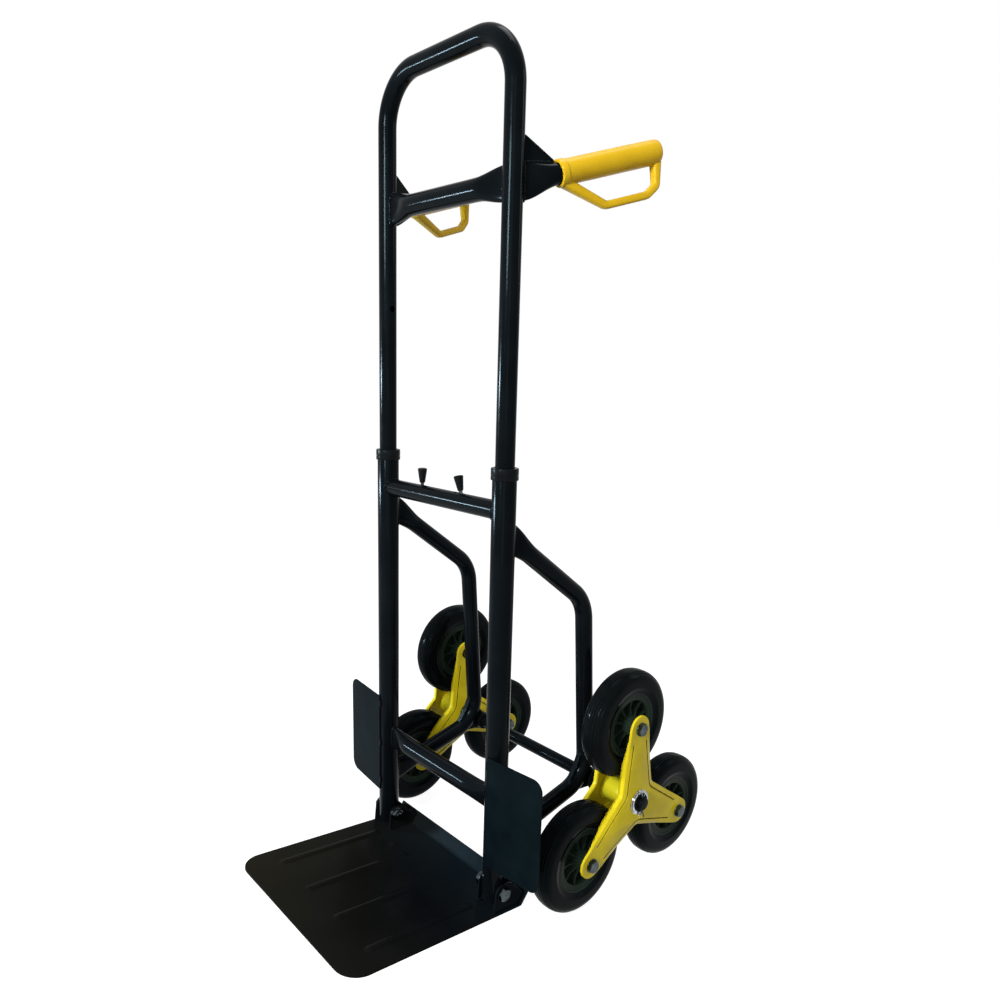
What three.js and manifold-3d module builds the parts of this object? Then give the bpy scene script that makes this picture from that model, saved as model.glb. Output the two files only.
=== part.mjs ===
// A folding, stair climbing hand truck: a telescopic tube frame, a hinged toe plate,
// two side handles and two clusters of three wheels. Millimetres, +X right, +Y back, +Z up.
// The origin is on the floor, in the middle plane, straight below the toe plate's hinge.
import * as THREE from "three";
import { mergeVertices } from "three/addons/utils/BufferGeometryUtils.js";
import Module from "manifold-3d";

const wasm = await Module();
wasm.setup();

const degrees = Math.PI / 180;

// Fits that the whole truck shares
const gap = 0.3; // between pieces that touch
const overrun = 4; // how far a cutter runs past what it cuts
const runningClearance = 0.5; // round a shaft that turns or slides

// Stance
const lean = 5.5 * degrees; // the uprights lean forward when the toe plate lies flat
const hingeAboveToe = 27; // hinge axis above the toe plate's top face

// Uprights; every height on the frame is measured along them from the hinge axis
const uprightSpacing = 262; // between the two tube axes
const uprightDiameter = 32;
const uprightWall = 1.5;
const uprightBelowHinge = 15;

// Collars that guide the telescopic handle
const collarAboveTube = 41; // its lower edge, above the upper cross tube's axis
const collarHeight = 15.5;
const collarDiameter = 36;
const collarLip = 3.5; // above the upright's top edge
const collarChamfer = 1.2;
const collarSleeveLength = 30;

// Telescopic handle
const handleDiameter = 25.4;
const handleWall = 1.5;
const handleTop = 1104; // axis of the top bar
const handleBendRadius = 65;
const handleLegBelowTube = 89; // the legs' lower ends, below the upper cross tube's axis
const handleTravel = 259;
const lockHoleDiameter = 9;
const braceBelowTop = 171; // between the axes of the brace and the top bar
const braceDiameter = 28;
const braceEndTall = 42;
const braceWall = 1.5;

// Cross tubes of the frame
const upperTubeHeight = 539;
const upperTubeDiameter = 25.4;
const upperTubeWall = 1.5;
const lowerTubeHeight = 133;
const lowerTubeDiameter = 28;
const lowerTubeEndTall = 36;
const lowerTubeWall = 1.5;
const flatteningLength = 46; // over which a round tube is pressed flat at its end
const pressedThickness = 9;

// Latches in the upper cross tube
const latchRodDiameter = 8;
const latchRodInnerEnd = 30;
const latchLeverOffset = 44; // where the lever leaves the tube, from the middle plane
const latchLeverLeans = { left: 0, right: 16 * degrees };
const latchTravel = 12;
const latchStudDiameter = 5;
const latchStudBare = 3.5; // stud that shows between the tube and the knob
const latchKnobLength = 21;
const latchKnobTopDiameter = 13.5;
const latchKnobFootDiameter = 7.5;
const latchKnobCrown = 1.5;
const latchKnobSocket = 12;
const latchBushThickness = 6;
const latchBushOffset = 21; // its inner face, from the middle plane

// Rear tubes: back from the upright, down past the wheels, and forward to the upright's foot
const rearTubeDiameter = 25.4;
const rearTubeWall = 1.5;
const rearTubeBelowTube = 27; // where its axis meets the upright's, below the upper cross tube
const rearTubeFoot = 63.5;
const rearTubeUpperCorner = { back: 161, down: 119 };
const rearTubeLowerCorner = { back: 183.5, up: 109 };
const rearTubeUpperRadius = 60;
const rearTubeLowerRadius = 50;
const rearTubeEndTall = 37;

// Axle, and the sleeve and bracket that carry it on each rear tube
const axleBack = 195;
const axleUp = 104;
const axleDiameter = 19;
const axleSleeveDiameter = 28;
const axleSleeveInward = 14; // from the rear tube's axis to the sleeve's inner end
const axleBracketThickness = 8;
const axleBeyondWasher = 7;
const washerDiameter = 37;
const innerWasherThickness = 3;
const outerWasherThickness = 4;
const cotterDiameter = 3;
const cotterOverhang = 12;
const cotterEyeRadius = 3;

// Wheel clusters
const armRadius = 115.6; // from the axle to each wheel bolt
const clusterBesideTube = 34.3; // from the rear tube's axis to the inner star's outside
const clusterWidth = 60.9; // over both stars
const starThickness = 3;
const starLobeRadius = 19.5;
const starNotchRadius = 39;
const starNotchFillet = 12;
const starLipDepth = 8;
const starLipThickness = 2.5;
const starLipStop = 27; // the folded lip stops this far from the wheel bolt's axis
const hubTubeDiameter = 34;
const wheelBoltDiameter = 10;
const wheelBoltAcrossFlats = 17;
const wheelBoltHeadHeight = 6.4;
const wheelNutHeight = 8;

// Wheels
const wheelRadius = 80;
const tyreWidth = 36;
const tyreTreadWidth = 21;
const tyreShoulderDrop = 9;
const tyreBeadWidth = 29;
const tyreBulgeRadius = 58;
const tyreBoreRadius = 46;
const rimWidth = 27;
const rimRingThickness = 6;
const rimHubDiameter = 30;
const rimWebThickness = 4;
const rimEndClearance = 0.6; // from the hub to each star
const finThickness = 3.4;
const finWidth = 21;

// Side wings
const wingWidth = 95;
const wingInward = 2; // past the line where it touches the upright
const wingBottom = 41;
const wingTop = 203.5;
const wingThickness = 2;
const wingSweep = 5.8 * degrees;
const wingCornerRadius = 16;

// Side handles; distances run along each one from the handle leg's axis
const sideHandleBelowTop = 173.3; // where its axis meets the leg's, below the top bar
const sideHandleSplay = 17.5 * degrees;
const sideHandleRise = 16.6 * degrees;
const armDiameter = 25.4;
const armWall = 1.5;
const armEndTall = 42;
const armEnd = 150;
const gripNear = 61;
const gripFar = 208;
const gripDiameter = 30;
const gripRimDiameter = 32.5;
const gripRimLength = 9;
const gripRounding = 4;
const guardTall = 10;
const guardWide = 12;
const guardNear = 70;
const guardNearCorner = 118.5;
const guardDrop = 47.3;
const guardFarCorner = 180.5;
const guardLiftCorner = 196.3;
const guardLiftDrop = 39;
const guardFar = 202;
const guardCornerRadius = 12;
const gussetThickness = 4;
const gussetHeight = 56; // up the handle leg, from the side handle's axis
const gussetReach = 59;
const gussetTipHeight = 16;

// Toe plate
const toeBesideUpright = 8; // how far the plate reaches past each upright
const toeFront = 250;
const toeRear = 36;
const toeThickness = 2.5;
const toeCornerRadius = 32;
const toeFlangeLength = 25;
const toeFlangeTilt = 33 * degrees; // back from upright
const toeRibShares = [-0.757, -0.252, 0.252, 0.757]; // of the plate's half width
const toeRibWidth = 15;
const toeRibSlope = 3;
const toeRibHeight = 2;
const toeRibFront = 202;
const toeRibRear = 26;
const toeEarThickness = 2.5;
const toeEarInset = 3.5; // from the plate's edge to the ear's outer face
const toeEarFront = 13;
const toeEarRadius = 13;
const toeEyeBackShare = 0.7; // how far up the flange an ear or a lug reaches
const toeLugThickness = 2.5;
const toeLugClearance = 2; // from its outer face to the upright
const toeLugFront = 10;
const toeLugRadius = 12;
const pivotBoltDiameter = 10;
const pivotBoltAcrossFlats = 17;
const pivotBoltHeadHeight = 6.4;
const pivotNutHeight = 8;
const pivotSpacerDiameter = 19;

// Fineness of round forms
const tubeSides = 12;
const fineSides = 16;
const boltSides = 10;
const wheelSides = 20;
const hubSides = 10;
const finCount = 10;
const bendSteps = 4;
const cornerSteps = 3;
const lobeSteps = 6;

const names = ["left", "right"];
const signs = { left: -1, right: 1 };
const armAngles = [90 * degrees, 210 * degrees, 330 * degrees]; // top, front and rear wheel
const halfSpacing = uprightSpacing / 2;
const uprightRadius = uprightDiameter / 2;
const handleRadius = handleDiameter / 2;
const pivotHeight = toeThickness + hingeAboveToe;
const braceHeight = handleTop - braceBelowTop;
const sideHandleHeight = handleTop - sideHandleBelowTop;
const handleLegBottom = upperTubeHeight - handleLegBelowTube;
const rearTubeTop = upperTubeHeight - rearTubeBelowTube;
const collarBottom = upperTubeHeight + collarAboveTube;
const uprightTop = collarBottom + collarHeight - collarLip;
const toeHalfWidth = halfSpacing + uprightRadius + toeBesideUpright;
const toeEarOffset = toeHalfWidth - toeEarInset;
const toeLugOffset = halfSpacing - uprightRadius - toeLugClearance;
const clusterInnerFace = halfSpacing + clusterBesideTube;
const clusterOuterFace = clusterInnerFace + clusterWidth;
const sleeveOuterEnd = clusterInnerFace - 2 * gap - innerWasherThickness;
const outerWasherEnd = clusterOuterFace + gap + outerWasherThickness;
const wheelMiddle = (clusterInnerFace + clusterOuterFace) / 2;
const axleHeight = pivotHeight + axleBack * Math.sin(lean) + axleUp * Math.cos(lean);
// The front wheel of each cluster stands on the floor
const frontArmDip = Math.asin((axleHeight - wheelRadius) / armRadius);
const clusterTurn = Math.PI + frontArmDip - armAngles[1] - lean;

const blackPaint = { color: 0x16191c, roughness: 0.32, metalness: 0.1 };
const yellowPaint = { color: 0xe6c61f, roughness: 0.38, metalness: 0.05 };
const yellowPlastic = { color: 0xe5b40c, roughness: 0.45, metalness: 0 };
const blackPlastic = { color: 0x17181a, roughness: 0.5, metalness: 0 };
const rimPlastic = { color: 0x242c27, roughness: 0.5, metalness: 0 };
const tyreRubber = { color: 0x151515, roughness: 0.6, metalness: 0 };
const zincSteel = { color: 0xb4b8bc, roughness: 0.3, metalness: 0.9 };
const chromeSteel = { color: 0xd4d7da, roughness: 0.15, metalness: 1 };
const blackSteel = { color: 0x1b1d1f, roughness: 0.4, metalness: 0.6 };

// One copy of every corner, so that faces share their edges
function welded(geometry) {
  const bare = geometry.clone();
  bare.deleteAttribute("normal");
  bare.deleteAttribute("uv");
  return mergeVertices(bare);
}

function toSolid(geometry) {
  const { attributes, index } = welded(geometry);
  return new wasm.Manifold(new wasm.Mesh({
    numProp: 3,
    vertProperties: new Float32Array(attributes.position.array),
    triVerts: new Uint32Array(index.array),
  }));
}

function toGeometry(body) {
  const { vertProperties, triVerts } = body.getMesh();
  const geometry = new THREE.BufferGeometry();
  geometry.setAttribute("position", new THREE.BufferAttribute(new Float32Array(vertProperties), 3));
  geometry.setIndex(new THREE.BufferAttribute(new Uint32Array(triVerts), 1));
  return geometry;
}

function cut(geometry, ...cutters) {
  return toGeometry(cutters.reduce((body, cutter) => body.subtract(toSolid(cutter)), toSolid(geometry)));
}

function join(geometry, ...others) {
  return toGeometry(others.reduce((body, other) => body.add(toSolid(other)), toSolid(geometry)));
}

// The same piece for the other side of the middle plane
function mirrored(geometry) {
  const other = welded(geometry);
  const { array } = other.attributes.position;
  for (let at = 0; at < array.length; at += 3) array[at] = -array[at];
  const corners = other.index.array;
  for (let at = 0; at < corners.length; at += 3) {
    [corners[at], corners[at + 1]] = [corners[at + 1], corners[at]];
  }
  return other;
}

function addMesh(parent, name, geometry, look) {
  geometry.computeVertexNormals();
  const mesh = new THREE.Mesh(geometry, new THREE.MeshStandardMaterial(look));
  mesh.name = name;
  parent.add(mesh);
  return mesh;
}

// A left and a right piece, each at the same distance from the middle plane
function addPair(parents, name, geometry, look, offset = 0) {
  addMesh(parents.right, `${name}_right`, geometry, look).position.x = offset;
  addMesh(parents.left, `${name}_left`, mirrored(geometry), look).position.x = -offset;
}

// Round bars from one coordinate to another
function barX(diameter, from, to, around = tubeSides) {
  const bar = new THREE.CylinderGeometry(diameter / 2, diameter / 2, to - from, around);
  return bar.rotateZ(-Math.PI / 2).translate((from + to) / 2, 0, 0);
}

function barY(diameter, from, to, around = tubeSides) {
  const bar = new THREE.CylinderGeometry(diameter / 2, diameter / 2, to - from, around);
  return bar.translate(0, (from + to) / 2, 0);
}

function barZ(diameter, from, to, around = tubeSides) {
  const bar = new THREE.CylinderGeometry(diameter / 2, diameter / 2, to - from, around);
  return bar.rotateX(Math.PI / 2).translate(0, 0, (from + to) / 2);
}

function hexX(acrossFlats, from, to) {
  return barX(acrossFlats / Math.cos(Math.PI / 6), from, to, 6);
}

// Turned forms: the corners run outside first, towards the axis's positive end
function turned(corners, around) {
  const profile = corners.map(([along, radius]) => new THREE.Vector2(radius, along));
  return new THREE.LatheGeometry([...profile, profile[0]], around);
}

const turnedX = (corners, around) => turned(corners, around).rotateZ(-Math.PI / 2);
const turnedZ = (corners, around) => turned(corners, around).rotateX(Math.PI / 2);

// A flat sheet whose outline lies in Y and Z, and whose thickness runs along X
function sheetX(shape, from, to) {
  const sheet = new THREE.ExtrudeGeometry(shape, { depth: to - from, bevelEnabled: false });
  return sheet.rotateY(Math.PI / 2).rotateX(Math.PI / 2).translate(from, 0, 0);
}

// An outline through corners, each with its own radius
function roundedOutline(corners) {
  const points = [];
  corners.forEach(([x, y, radius = 0], index) => {
    const here = new THREE.Vector2(x, y);
    if (radius === 0) {
      points.push(here);
      return;
    }
    const [previous, following] = [corners.at(index - 1), corners[(index + 1) % corners.length]];
    const before = new THREE.Vector2(previous[0], previous[1]).sub(here).normalize();
    const after = new THREE.Vector2(following[0], following[1]).sub(here).normalize();
    const halfAngle = Math.acos(before.dot(after)) / 2;
    const tangent = radius / Math.tan(halfAngle);
    const centre = before.clone().add(after).normalize()
      .multiplyScalar(radius / Math.sin(halfAngle)).add(here);
    const start = here.clone().addScaledVector(before, tangent).sub(centre).angle();
    const end = here.clone().addScaledVector(after, tangent).sub(centre).angle();
    const turn = Math.atan2(Math.sin(end - start), Math.cos(end - start));
    for (let step = 0; step <= cornerSteps; step += 1) {
      const angle = start + (turn * step) / cornerSteps;
      points.push(new THREE.Vector2(Math.cos(angle), Math.sin(angle)).multiplyScalar(radius).add(centre));
    }
  });
  return new THREE.Shape(points);
}

// Stations along straight runs joined by round bends, with extra ones near both ends
function bentRoute(corners, radii, endDistances = []) {
  const points = [];
  for (let index = 1; index < corners.length - 1; index += 1) {
    const corner = corners[index];
    const radius = radii[index - 1];
    const back = corners[index - 1].clone().sub(corner).normalize();
    const ahead = corners[index + 1].clone().sub(corner).normalize();
    const halfAngle = back.angleTo(ahead) / 2;
    const middle = back.clone().add(ahead).normalize();
    const centre = corner.clone().addScaledVector(middle, radius / Math.sin(halfAngle));
    const start = corner.clone().addScaledVector(back, radius / Math.tan(halfAngle)).sub(centre);
    const axis = ahead.clone().cross(back).normalize();
    for (let step = 0; step <= bendSteps; step += 1) {
      const angle = ((Math.PI - 2 * halfAngle) * step) / bendSteps;
      points.push(start.clone().applyAxisAngle(axis, angle).add(centre));
    }
  }
  const first = corners[0];
  const last = corners.at(-1);
  const forward = corners[1].clone().sub(first).normalize();
  const backward = corners.at(-2).clone().sub(last).normalize();
  const near = endDistances.map((distance) => first.clone().addScaledVector(forward, distance));
  const far = endDistances.map((distance) => last.clone().addScaledVector(backward, distance)).reverse();
  return [first, ...near, ...points, ...far, last];
}

// A body through sections along a route; with a wall it is a tube with open ends.
// All sections share the direction across. sizeAt gives half sizes: flat is along across,
// and tall is square to it and to the route.
function sweep(route, across, sizeAt, wall = 0, around = tubeSides) {
  const travelled = [0];
  for (let index = 1; index < route.length; index += 1) {
    travelled.push(travelled[index - 1] + route[index].distanceTo(route[index - 1]));
  }
  const ringAt = (index, shrink) => {
    const ahead = route[Math.min(index + 1, route.length - 1)].clone().sub(route[index]).normalize();
    const behind = route[index].clone().sub(route[Math.max(index - 1, 0)]).normalize();
    const tallAxis = ahead.add(behind).normalize().cross(across);
    const { flat, tall, power } = sizeAt(travelled[index], travelled.at(-1) - travelled[index]);
    return Array.from({ length: around }, (_, corner) => {
      const angle = (2 * Math.PI * corner) / around;
      const blunt = (value) => Math.sign(value) * Math.abs(value) ** power;
      return route[index].clone()
        .addScaledVector(across, blunt(Math.cos(angle)) * (flat - shrink))
        .addScaledVector(tallAxis, blunt(Math.sin(angle)) * (tall - shrink));
    });
  };
  const outer = route.map((_, index) => ringAt(index, 0));
  const inner = wall > 0 ? route.map((_, index) => ringAt(index, wall)) : null;
  const corners = [];
  const quad = (a, b, c, d) => corners.push(a, b, c, a, c, d);
  const end = route.length - 1;
  for (let side = 0; side < around; side += 1) {
    const next = (side + 1) % around;
    for (let index = 0; index < end; index += 1) {
      quad(outer[index][side], outer[index][next], outer[index + 1][next], outer[index + 1][side]);
      if (inner) quad(inner[index][side], inner[index + 1][side], inner[index + 1][next], inner[index][next]);
    }
    if (inner) {
      quad(outer[0][side], inner[0][side], inner[0][next], outer[0][next]);
      quad(outer[end][side], outer[end][next], inner[end][next], inner[end][side]);
    } else if (side > 0 && next > 0) {
      corners.push(outer[0][0], outer[0][next], outer[0][side]);
      corners.push(outer[end][0], outer[end][side], outer[end][next]);
    }
  }
  return new THREE.BufferGeometry().setFromPoints(corners);
}

// Half sizes of a round tube that is pressed tall and thin towards its ends.
// Each end starts with a hidden length inside the post that it is welded to.
function pressedSection(diameter, endTall, hidden, farEndToo = true) {
  return (fromStart, fromEnd) => {
    const distance = Math.max((farEndToo ? Math.min(fromStart, fromEnd) : fromStart) - hidden, 0);
    const share = Math.min(distance / flatteningLength, 1);
    const eased = share * share * (3 - 2 * share);
    return {
      flat: THREE.MathUtils.lerp(pressedThickness / 2, diameter / 2, eased),
      tall: THREE.MathUtils.lerp(endTall / 2, diameter / 2, eased),
      power: THREE.MathUtils.lerp(2 / 3, 1, eased),
    };
  };
}

const roundSection = (diameter) => () => ({ flat: diameter / 2, tall: diameter / 2, power: 1 });
const pressShares = [0.15, 0.5, 1];
const pressStations = (hidden) => pressShares.map((share) => hidden + share * flatteningLength);
const acrossX = new THREE.Vector3(1, 0, 0);
const acrossY = new THREE.Vector3(0, 1, 0);
const point = (x, y, z) => new THREE.Vector3(x, y, z);

// What shapes the end of a tube that is welded to a post
function postCutters(postDiameter, height, reach) {
  const cutter = barZ(postDiameter + 2 * gap, height - reach, height + reach, fineSides);
  return [cutter.clone().translate(-halfSpacing, 0, 0), cutter.translate(halfSpacing, 0, 0)];
}

// The frame stands on the hinge axis and leans forward
const truck = new THREE.Group();
const frame = new THREE.Group();
frame.position.z = pivotHeight;
frame.rotation.x = lean;
truck.add(frame);
const onFrame = { left: frame, right: frame };

function addUprights() {
  const tube = turnedZ([
    [-uprightBelowHinge, uprightRadius],
    [uprightTop, uprightRadius],
    [uprightTop, uprightRadius - uprightWall],
    [-uprightBelowHinge, uprightRadius - uprightWall],
  ], fineSides);
  const boltHole = barX(pivotBoltDiameter + 2 * gap, -uprightDiameter, uprightDiameter, boltSides);
  const latchHole = barX(latchRodDiameter + 2 * runningClearance, -uprightDiameter, 0, boltSides)
    .translate(0, 0, upperTubeHeight);
  addPair(onFrame, "upright", cut(tube, boltHole, latchHole), blackPaint, halfSpacing);
}

function addCollars() {
  const top = collarBottom + collarHeight;
  const bore = handleRadius + runningClearance;
  const sleeve = uprightRadius - uprightWall - gap;
  const skirt = uprightRadius + gap;
  const ring = turnedZ([
    [collarBottom, collarDiameter / 2],
    [top - collarChamfer, collarDiameter / 2],
    [top, collarDiameter / 2 - collarChamfer],
    [top, bore],
    [top - collarSleeveLength, bore],
    [top - collarSleeveLength, sleeve],
    [uprightTop + gap, sleeve],
    [uprightTop + gap, skirt],
    [collarBottom, skirt],
  ], fineSides);
  addPair(onFrame, "collar", ring, blackPlastic, halfSpacing);
}

// How far the lever's stud shifts sideways between the tube's surface and its axis
const studShift = (name) => (Math.tan(latchLeverLeans[name]) * upperTubeDiameter) / 2;

function addUpperTube() {
  const route = [point(-halfSpacing, 0, upperTubeHeight), point(halfSpacing, 0, upperTubeHeight)];
  const tube = sweep(route, acrossY, roundSection(upperTubeDiameter), upperTubeWall);
  const slotWidth = latchStudDiameter + 2 * runningClearance;
  const slots = names.map((name) => {
    const length = latchTravel + slotWidth + studShift(name);
    const middle = latchLeverOffset + (studShift(name) - latchTravel) / 2;
    return new THREE.BoxGeometry(length, slotWidth, upperTubeDiameter)
      .translate(signs[name] * middle, 0, upperTubeHeight + upperTubeDiameter / 2);
  });
  const posts = postCutters(uprightDiameter, upperTubeHeight, upperTubeDiameter);
  addMesh(frame, "upper_cross_tube", cut(tube, ...posts, ...slots), blackPaint);
}

// A tube between two posts, pressed tall and thin where it is welded to them
function pressedCrossTube(diameter, endTall, wall, height, postDiameter) {
  const inset = postDiameter / 4;
  const hidden = postDiameter / 2 - inset;
  const corners = [point(inset - halfSpacing, 0, height), point(halfSpacing - inset, 0, height)];
  const route = bentRoute(corners, [], pressStations(hidden));
  const tube = sweep(route, acrossY, pressedSection(diameter, endTall, hidden), wall);
  return cut(tube, ...postCutters(postDiameter, height, endTall));
}

function addLowerTube() {
  const tube = pressedCrossTube(lowerTubeDiameter, lowerTubeEndTall, lowerTubeWall, lowerTubeHeight,
    uprightDiameter);
  addMesh(frame, "lower_cross_tube", tube, blackPaint);
}

function addRearTubes() {
  const corners = [
    point(0, 0, rearTubeTop),
    point(0, rearTubeUpperCorner.back, rearTubeTop - rearTubeUpperCorner.down),
    point(0, rearTubeLowerCorner.back, rearTubeLowerCorner.up),
    point(0, 0, rearTubeFoot),
  ];
  const radii = [rearTubeUpperRadius, rearTubeLowerRadius];
  const route = bentRoute(corners, radii, pressStations(uprightRadius));
  const section = pressedSection(rearTubeDiameter, rearTubeEndTall, uprightRadius);
  const tube = sweep(route, acrossX, section, rearTubeWall);
  const inside = sweep(route, acrossX, (fromStart, fromEnd) => {
    const { flat, tall, power } = section(fromStart, fromEnd);
    return { flat: flat - rearTubeWall, tall: tall - rearTubeWall, power };
  });
  const sleeve = barX(axleSleeveDiameter, -axleSleeveInward, sleeveOuterEnd - halfSpacing, fineSides)
    .translate(0, axleBack, axleUp);
  const bore = barX(axleDiameter + 2 * runningClearance, -uprightSpacing, uprightSpacing, fineSides)
    .translate(0, axleBack, axleUp);
  const bracket = sheetX(axleBracketOutline(), -axleBracketThickness / 2, axleBracketThickness / 2);
  const post = barZ(uprightDiameter + 2 * gap, 0, rearTubeTop + rearTubeEndTall, fineSides);
  const carrier = cut(join(sleeve, bracket), inside);
  addPair(onFrame, "rear_tube", cut(join(tube, carrier), bore, post), blackPaint, halfSpacing);
}

// The plate that ties the axle sleeve to the rear tube's lower bend
function axleBracketOutline() {
  const sleeveRadius = axleSleeveDiameter / 2;
  const low = rearTubeLowerCorner.up - rearTubeDiameter / 2;
  return new THREE.Shape([
    new THREE.Vector2(rearTubeLowerCorner.back - rearTubeLowerRadius, low),
    new THREE.Vector2(axleBack, axleUp - sleeveRadius),
    new THREE.Vector2(axleBack + sleeveRadius, axleUp),
    new THREE.Vector2(axleBack, axleUp + sleeveRadius),
    new THREE.Vector2(rearTubeLowerCorner.back - rearTubeDiameter / 2, axleUp + 2 * axleSleeveDiameter),
    new THREE.Vector2(rearTubeLowerCorner.back - rearTubeDiameter, axleUp + axleSleeveDiameter),
  ]);
}

function addWings() {
  const outline = roundedOutline([
    [-wingInward, wingBottom],
    [wingWidth, wingBottom, wingCornerRadius],
    [wingWidth, wingTop, wingCornerRadius],
    [-wingInward, wingTop],
  ]);
  const plate = new THREE.ExtrudeGeometry(outline, { depth: wingThickness, bevelEnabled: false })
    .rotateX(Math.PI / 2).translate(0, -uprightRadius - gap, 0).rotateZ(wingSweep);
  addPair(onFrame, "side_wing", plate, blackPaint, halfSpacing);
}

// The axle crosses the whole truck; a cotter pin holds each wheel cluster on it
function addAxle() {
  const end = outerWasherEnd + axleBeyondWasher;
  const cotterAt = outerWasherEnd + gap + cotterDiameter;
  const across = axleDiameter + 2 * overrun;
  const hole = barZ(cotterDiameter + 2 * gap, -across, across, boltSides);
  const shaft = cut(
    barX(axleDiameter, -end, end, fineSides),
    hole.clone().translate(-cotterAt, 0, 0),
    hole.translate(cotterAt, 0, 0),
  );
  addMesh(frame, "axle", shaft, blackSteel).position.set(0, axleBack, axleUp);
  const bore = axleDiameter / 2 + gap;
  const washer = (from, thickness) => turnedX([
    [from, washerDiameter / 2], [from + thickness, washerDiameter / 2],
    [from + thickness, bore], [from, bore],
  ], fineSides).translate(0, axleBack, axleUp);
  addPair(onFrame, "axle_washer_inner", washer(sleeveOuterEnd + gap, innerWasherThickness), zincSteel);
  addPair(onFrame, "axle_washer_outer", washer(clusterOuterFace + gap, outerWasherThickness), chromeSteel);
  const legEnd = axleDiameter / 2 + cotterOverhang;
  const eye = new THREE.TorusGeometry(cotterEyeRadius, cotterDiameter / 2, hubSides / 2, hubSides)
    .rotateY(Math.PI / 2).translate(0, 0, axleDiameter / 2 + cotterEyeRadius + cotterDiameter / 2);
  const pin = join(barZ(cotterDiameter, -legEnd, axleDiameter / 2 + cotterDiameter, hubSides), eye)
    .translate(cotterAt, axleBack, axleUp);
  addPair(onFrame, "cotter_pin", pin, zincSteel);
}

// A star's outline in Y and Z: three round lobes with a shallow notch between each two
function starOutline(inset) {
  const lobe = starLobeRadius - inset;
  const notch = starNotchRadius - inset;
  const betweenArms = (2 * Math.PI) / armAngles.length;
  const toNotch = new THREE.Vector2(notch, 0).rotateAround(new THREE.Vector2(), betweenArms / 2)
    .sub(new THREE.Vector2(armRadius, 0));
  const spread = toNotch.angle() - Math.acos(lobe / toNotch.length());
  return roundedOutline(armAngles.flatMap((arm) => {
    const tip = Array.from({ length: lobeSteps + 1 }, (_, step) => {
      const angle = arm - spread + (2 * spread * step) / lobeSteps;
      return [
        armRadius * Math.cos(arm) + lobe * Math.cos(angle),
        armRadius * Math.sin(arm) + lobe * Math.sin(angle),
      ];
    });
    const between = arm + betweenArms / 2;
    return [...tip, [notch * Math.cos(between), notch * Math.sin(between), starNotchFillet]];
  }));
}

const atArm = (geometry, arm) => geometry.translate(0, armRadius * Math.cos(arm), armRadius * Math.sin(arm));

// A pressed star: a plate with lips folded towards its partner along the arms' edges
function star(plateFrom, plateTo, lipFrom, lipTo) {
  const plate = sheetX(starOutline(0), plateFrom, plateTo);
  const lipStops = armAngles.map((arm) => atArm(
    barX(2 * starLipStop, lipFrom - overrun, lipTo + overrun, fineSides), arm));
  const lip = cut(
    sheetX(starOutline(0), lipFrom, lipTo),
    sheetX(starOutline(starLipThickness), lipFrom - overrun, lipTo + overrun),
    ...lipStops,
  );
  const holes = armAngles.map((arm) => atArm(
    barX(wheelBoltDiameter + 2 * gap, plateFrom - overrun, plateTo + overrun, boltSides), arm));
  return cut(join(plate, lip), ...holes);
}

function addClusters() {
  const clusters = {};
  for (const name of names) {
    clusters[name] = new THREE.Group();
    clusters[name].position.set(0, axleBack, axleUp);
    clusters[name].rotation.x = clusterTurn;
    frame.add(clusters[name]);
  }
  const innerPlateEnd = clusterInnerFace + starThickness;
  const outerPlateStart = clusterOuterFace - starThickness;
  const half = starThickness / 2;
  const axleHole = barX(axleDiameter + 2 * runningClearance, clusterInnerFace - overrun,
    clusterOuterFace + overrun, fineSides);
  const hub = barX(hubTubeDiameter, innerPlateEnd - half, outerPlateStart - gap, fineSides);
  const inner = star(clusterInnerFace, innerPlateEnd, innerPlateEnd - half, innerPlateEnd + starLipDepth);
  const outer = star(outerPlateStart, clusterOuterFace, outerPlateStart - starLipDepth,
    outerPlateStart + half);
  addPair(clusters, "star_inner", cut(join(inner, hub), axleHole), yellowPaint);
  addPair(clusters, "star_outer", cut(outer, axleHole), yellowPaint);
  const headEnd = clusterOuterFace + gap + wheelBoltHeadHeight;
  const nutStart = clusterInnerFace - gap - wheelNutHeight;
  const bolt = join(
    barX(wheelBoltDiameter, nutStart, headEnd, boltSides),
    hexX(wheelBoltAcrossFlats, clusterOuterFace + gap, headEnd),
    hexX(wheelBoltAcrossFlats, nutStart, clusterInnerFace - gap),
  );
  armAngles.forEach((arm, index) => {
    addNumberedPair(clusters, "wheel_bolt", index + 1, atArm(bolt.clone(), arm), zincSteel);
    addNumberedPair(clusters, "tyre", index + 1, atArm(tyre(), arm), tyreRubber);
    addNumberedPair(clusters, "rim", index + 1, atArm(rim(), arm), rimPlastic);
  });
}

function addNumberedPair(parents, name, number, geometry, look) {
  addMesh(parents.right, `${name}_right_${number}`, geometry, look);
  addMesh(parents.left, `${name}_left_${number}`, mirrored(geometry), look);
}

function tyre() {
  const shoulder = wheelRadius - tyreShoulderDrop;
  return turnedX([
    [-tyreWidth / 2, shoulder],
    [-tyreTreadWidth / 2, wheelRadius],
    [tyreTreadWidth / 2, wheelRadius],
    [tyreWidth / 2, shoulder],
    [tyreWidth / 2, tyreBulgeRadius],
    [tyreBeadWidth / 2, tyreBoreRadius],
    [-tyreBeadWidth / 2, tyreBoreRadius],
    [-tyreWidth / 2, tyreBulgeRadius],
  ], wheelSides).translate(wheelMiddle, 0, 0);
}

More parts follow.
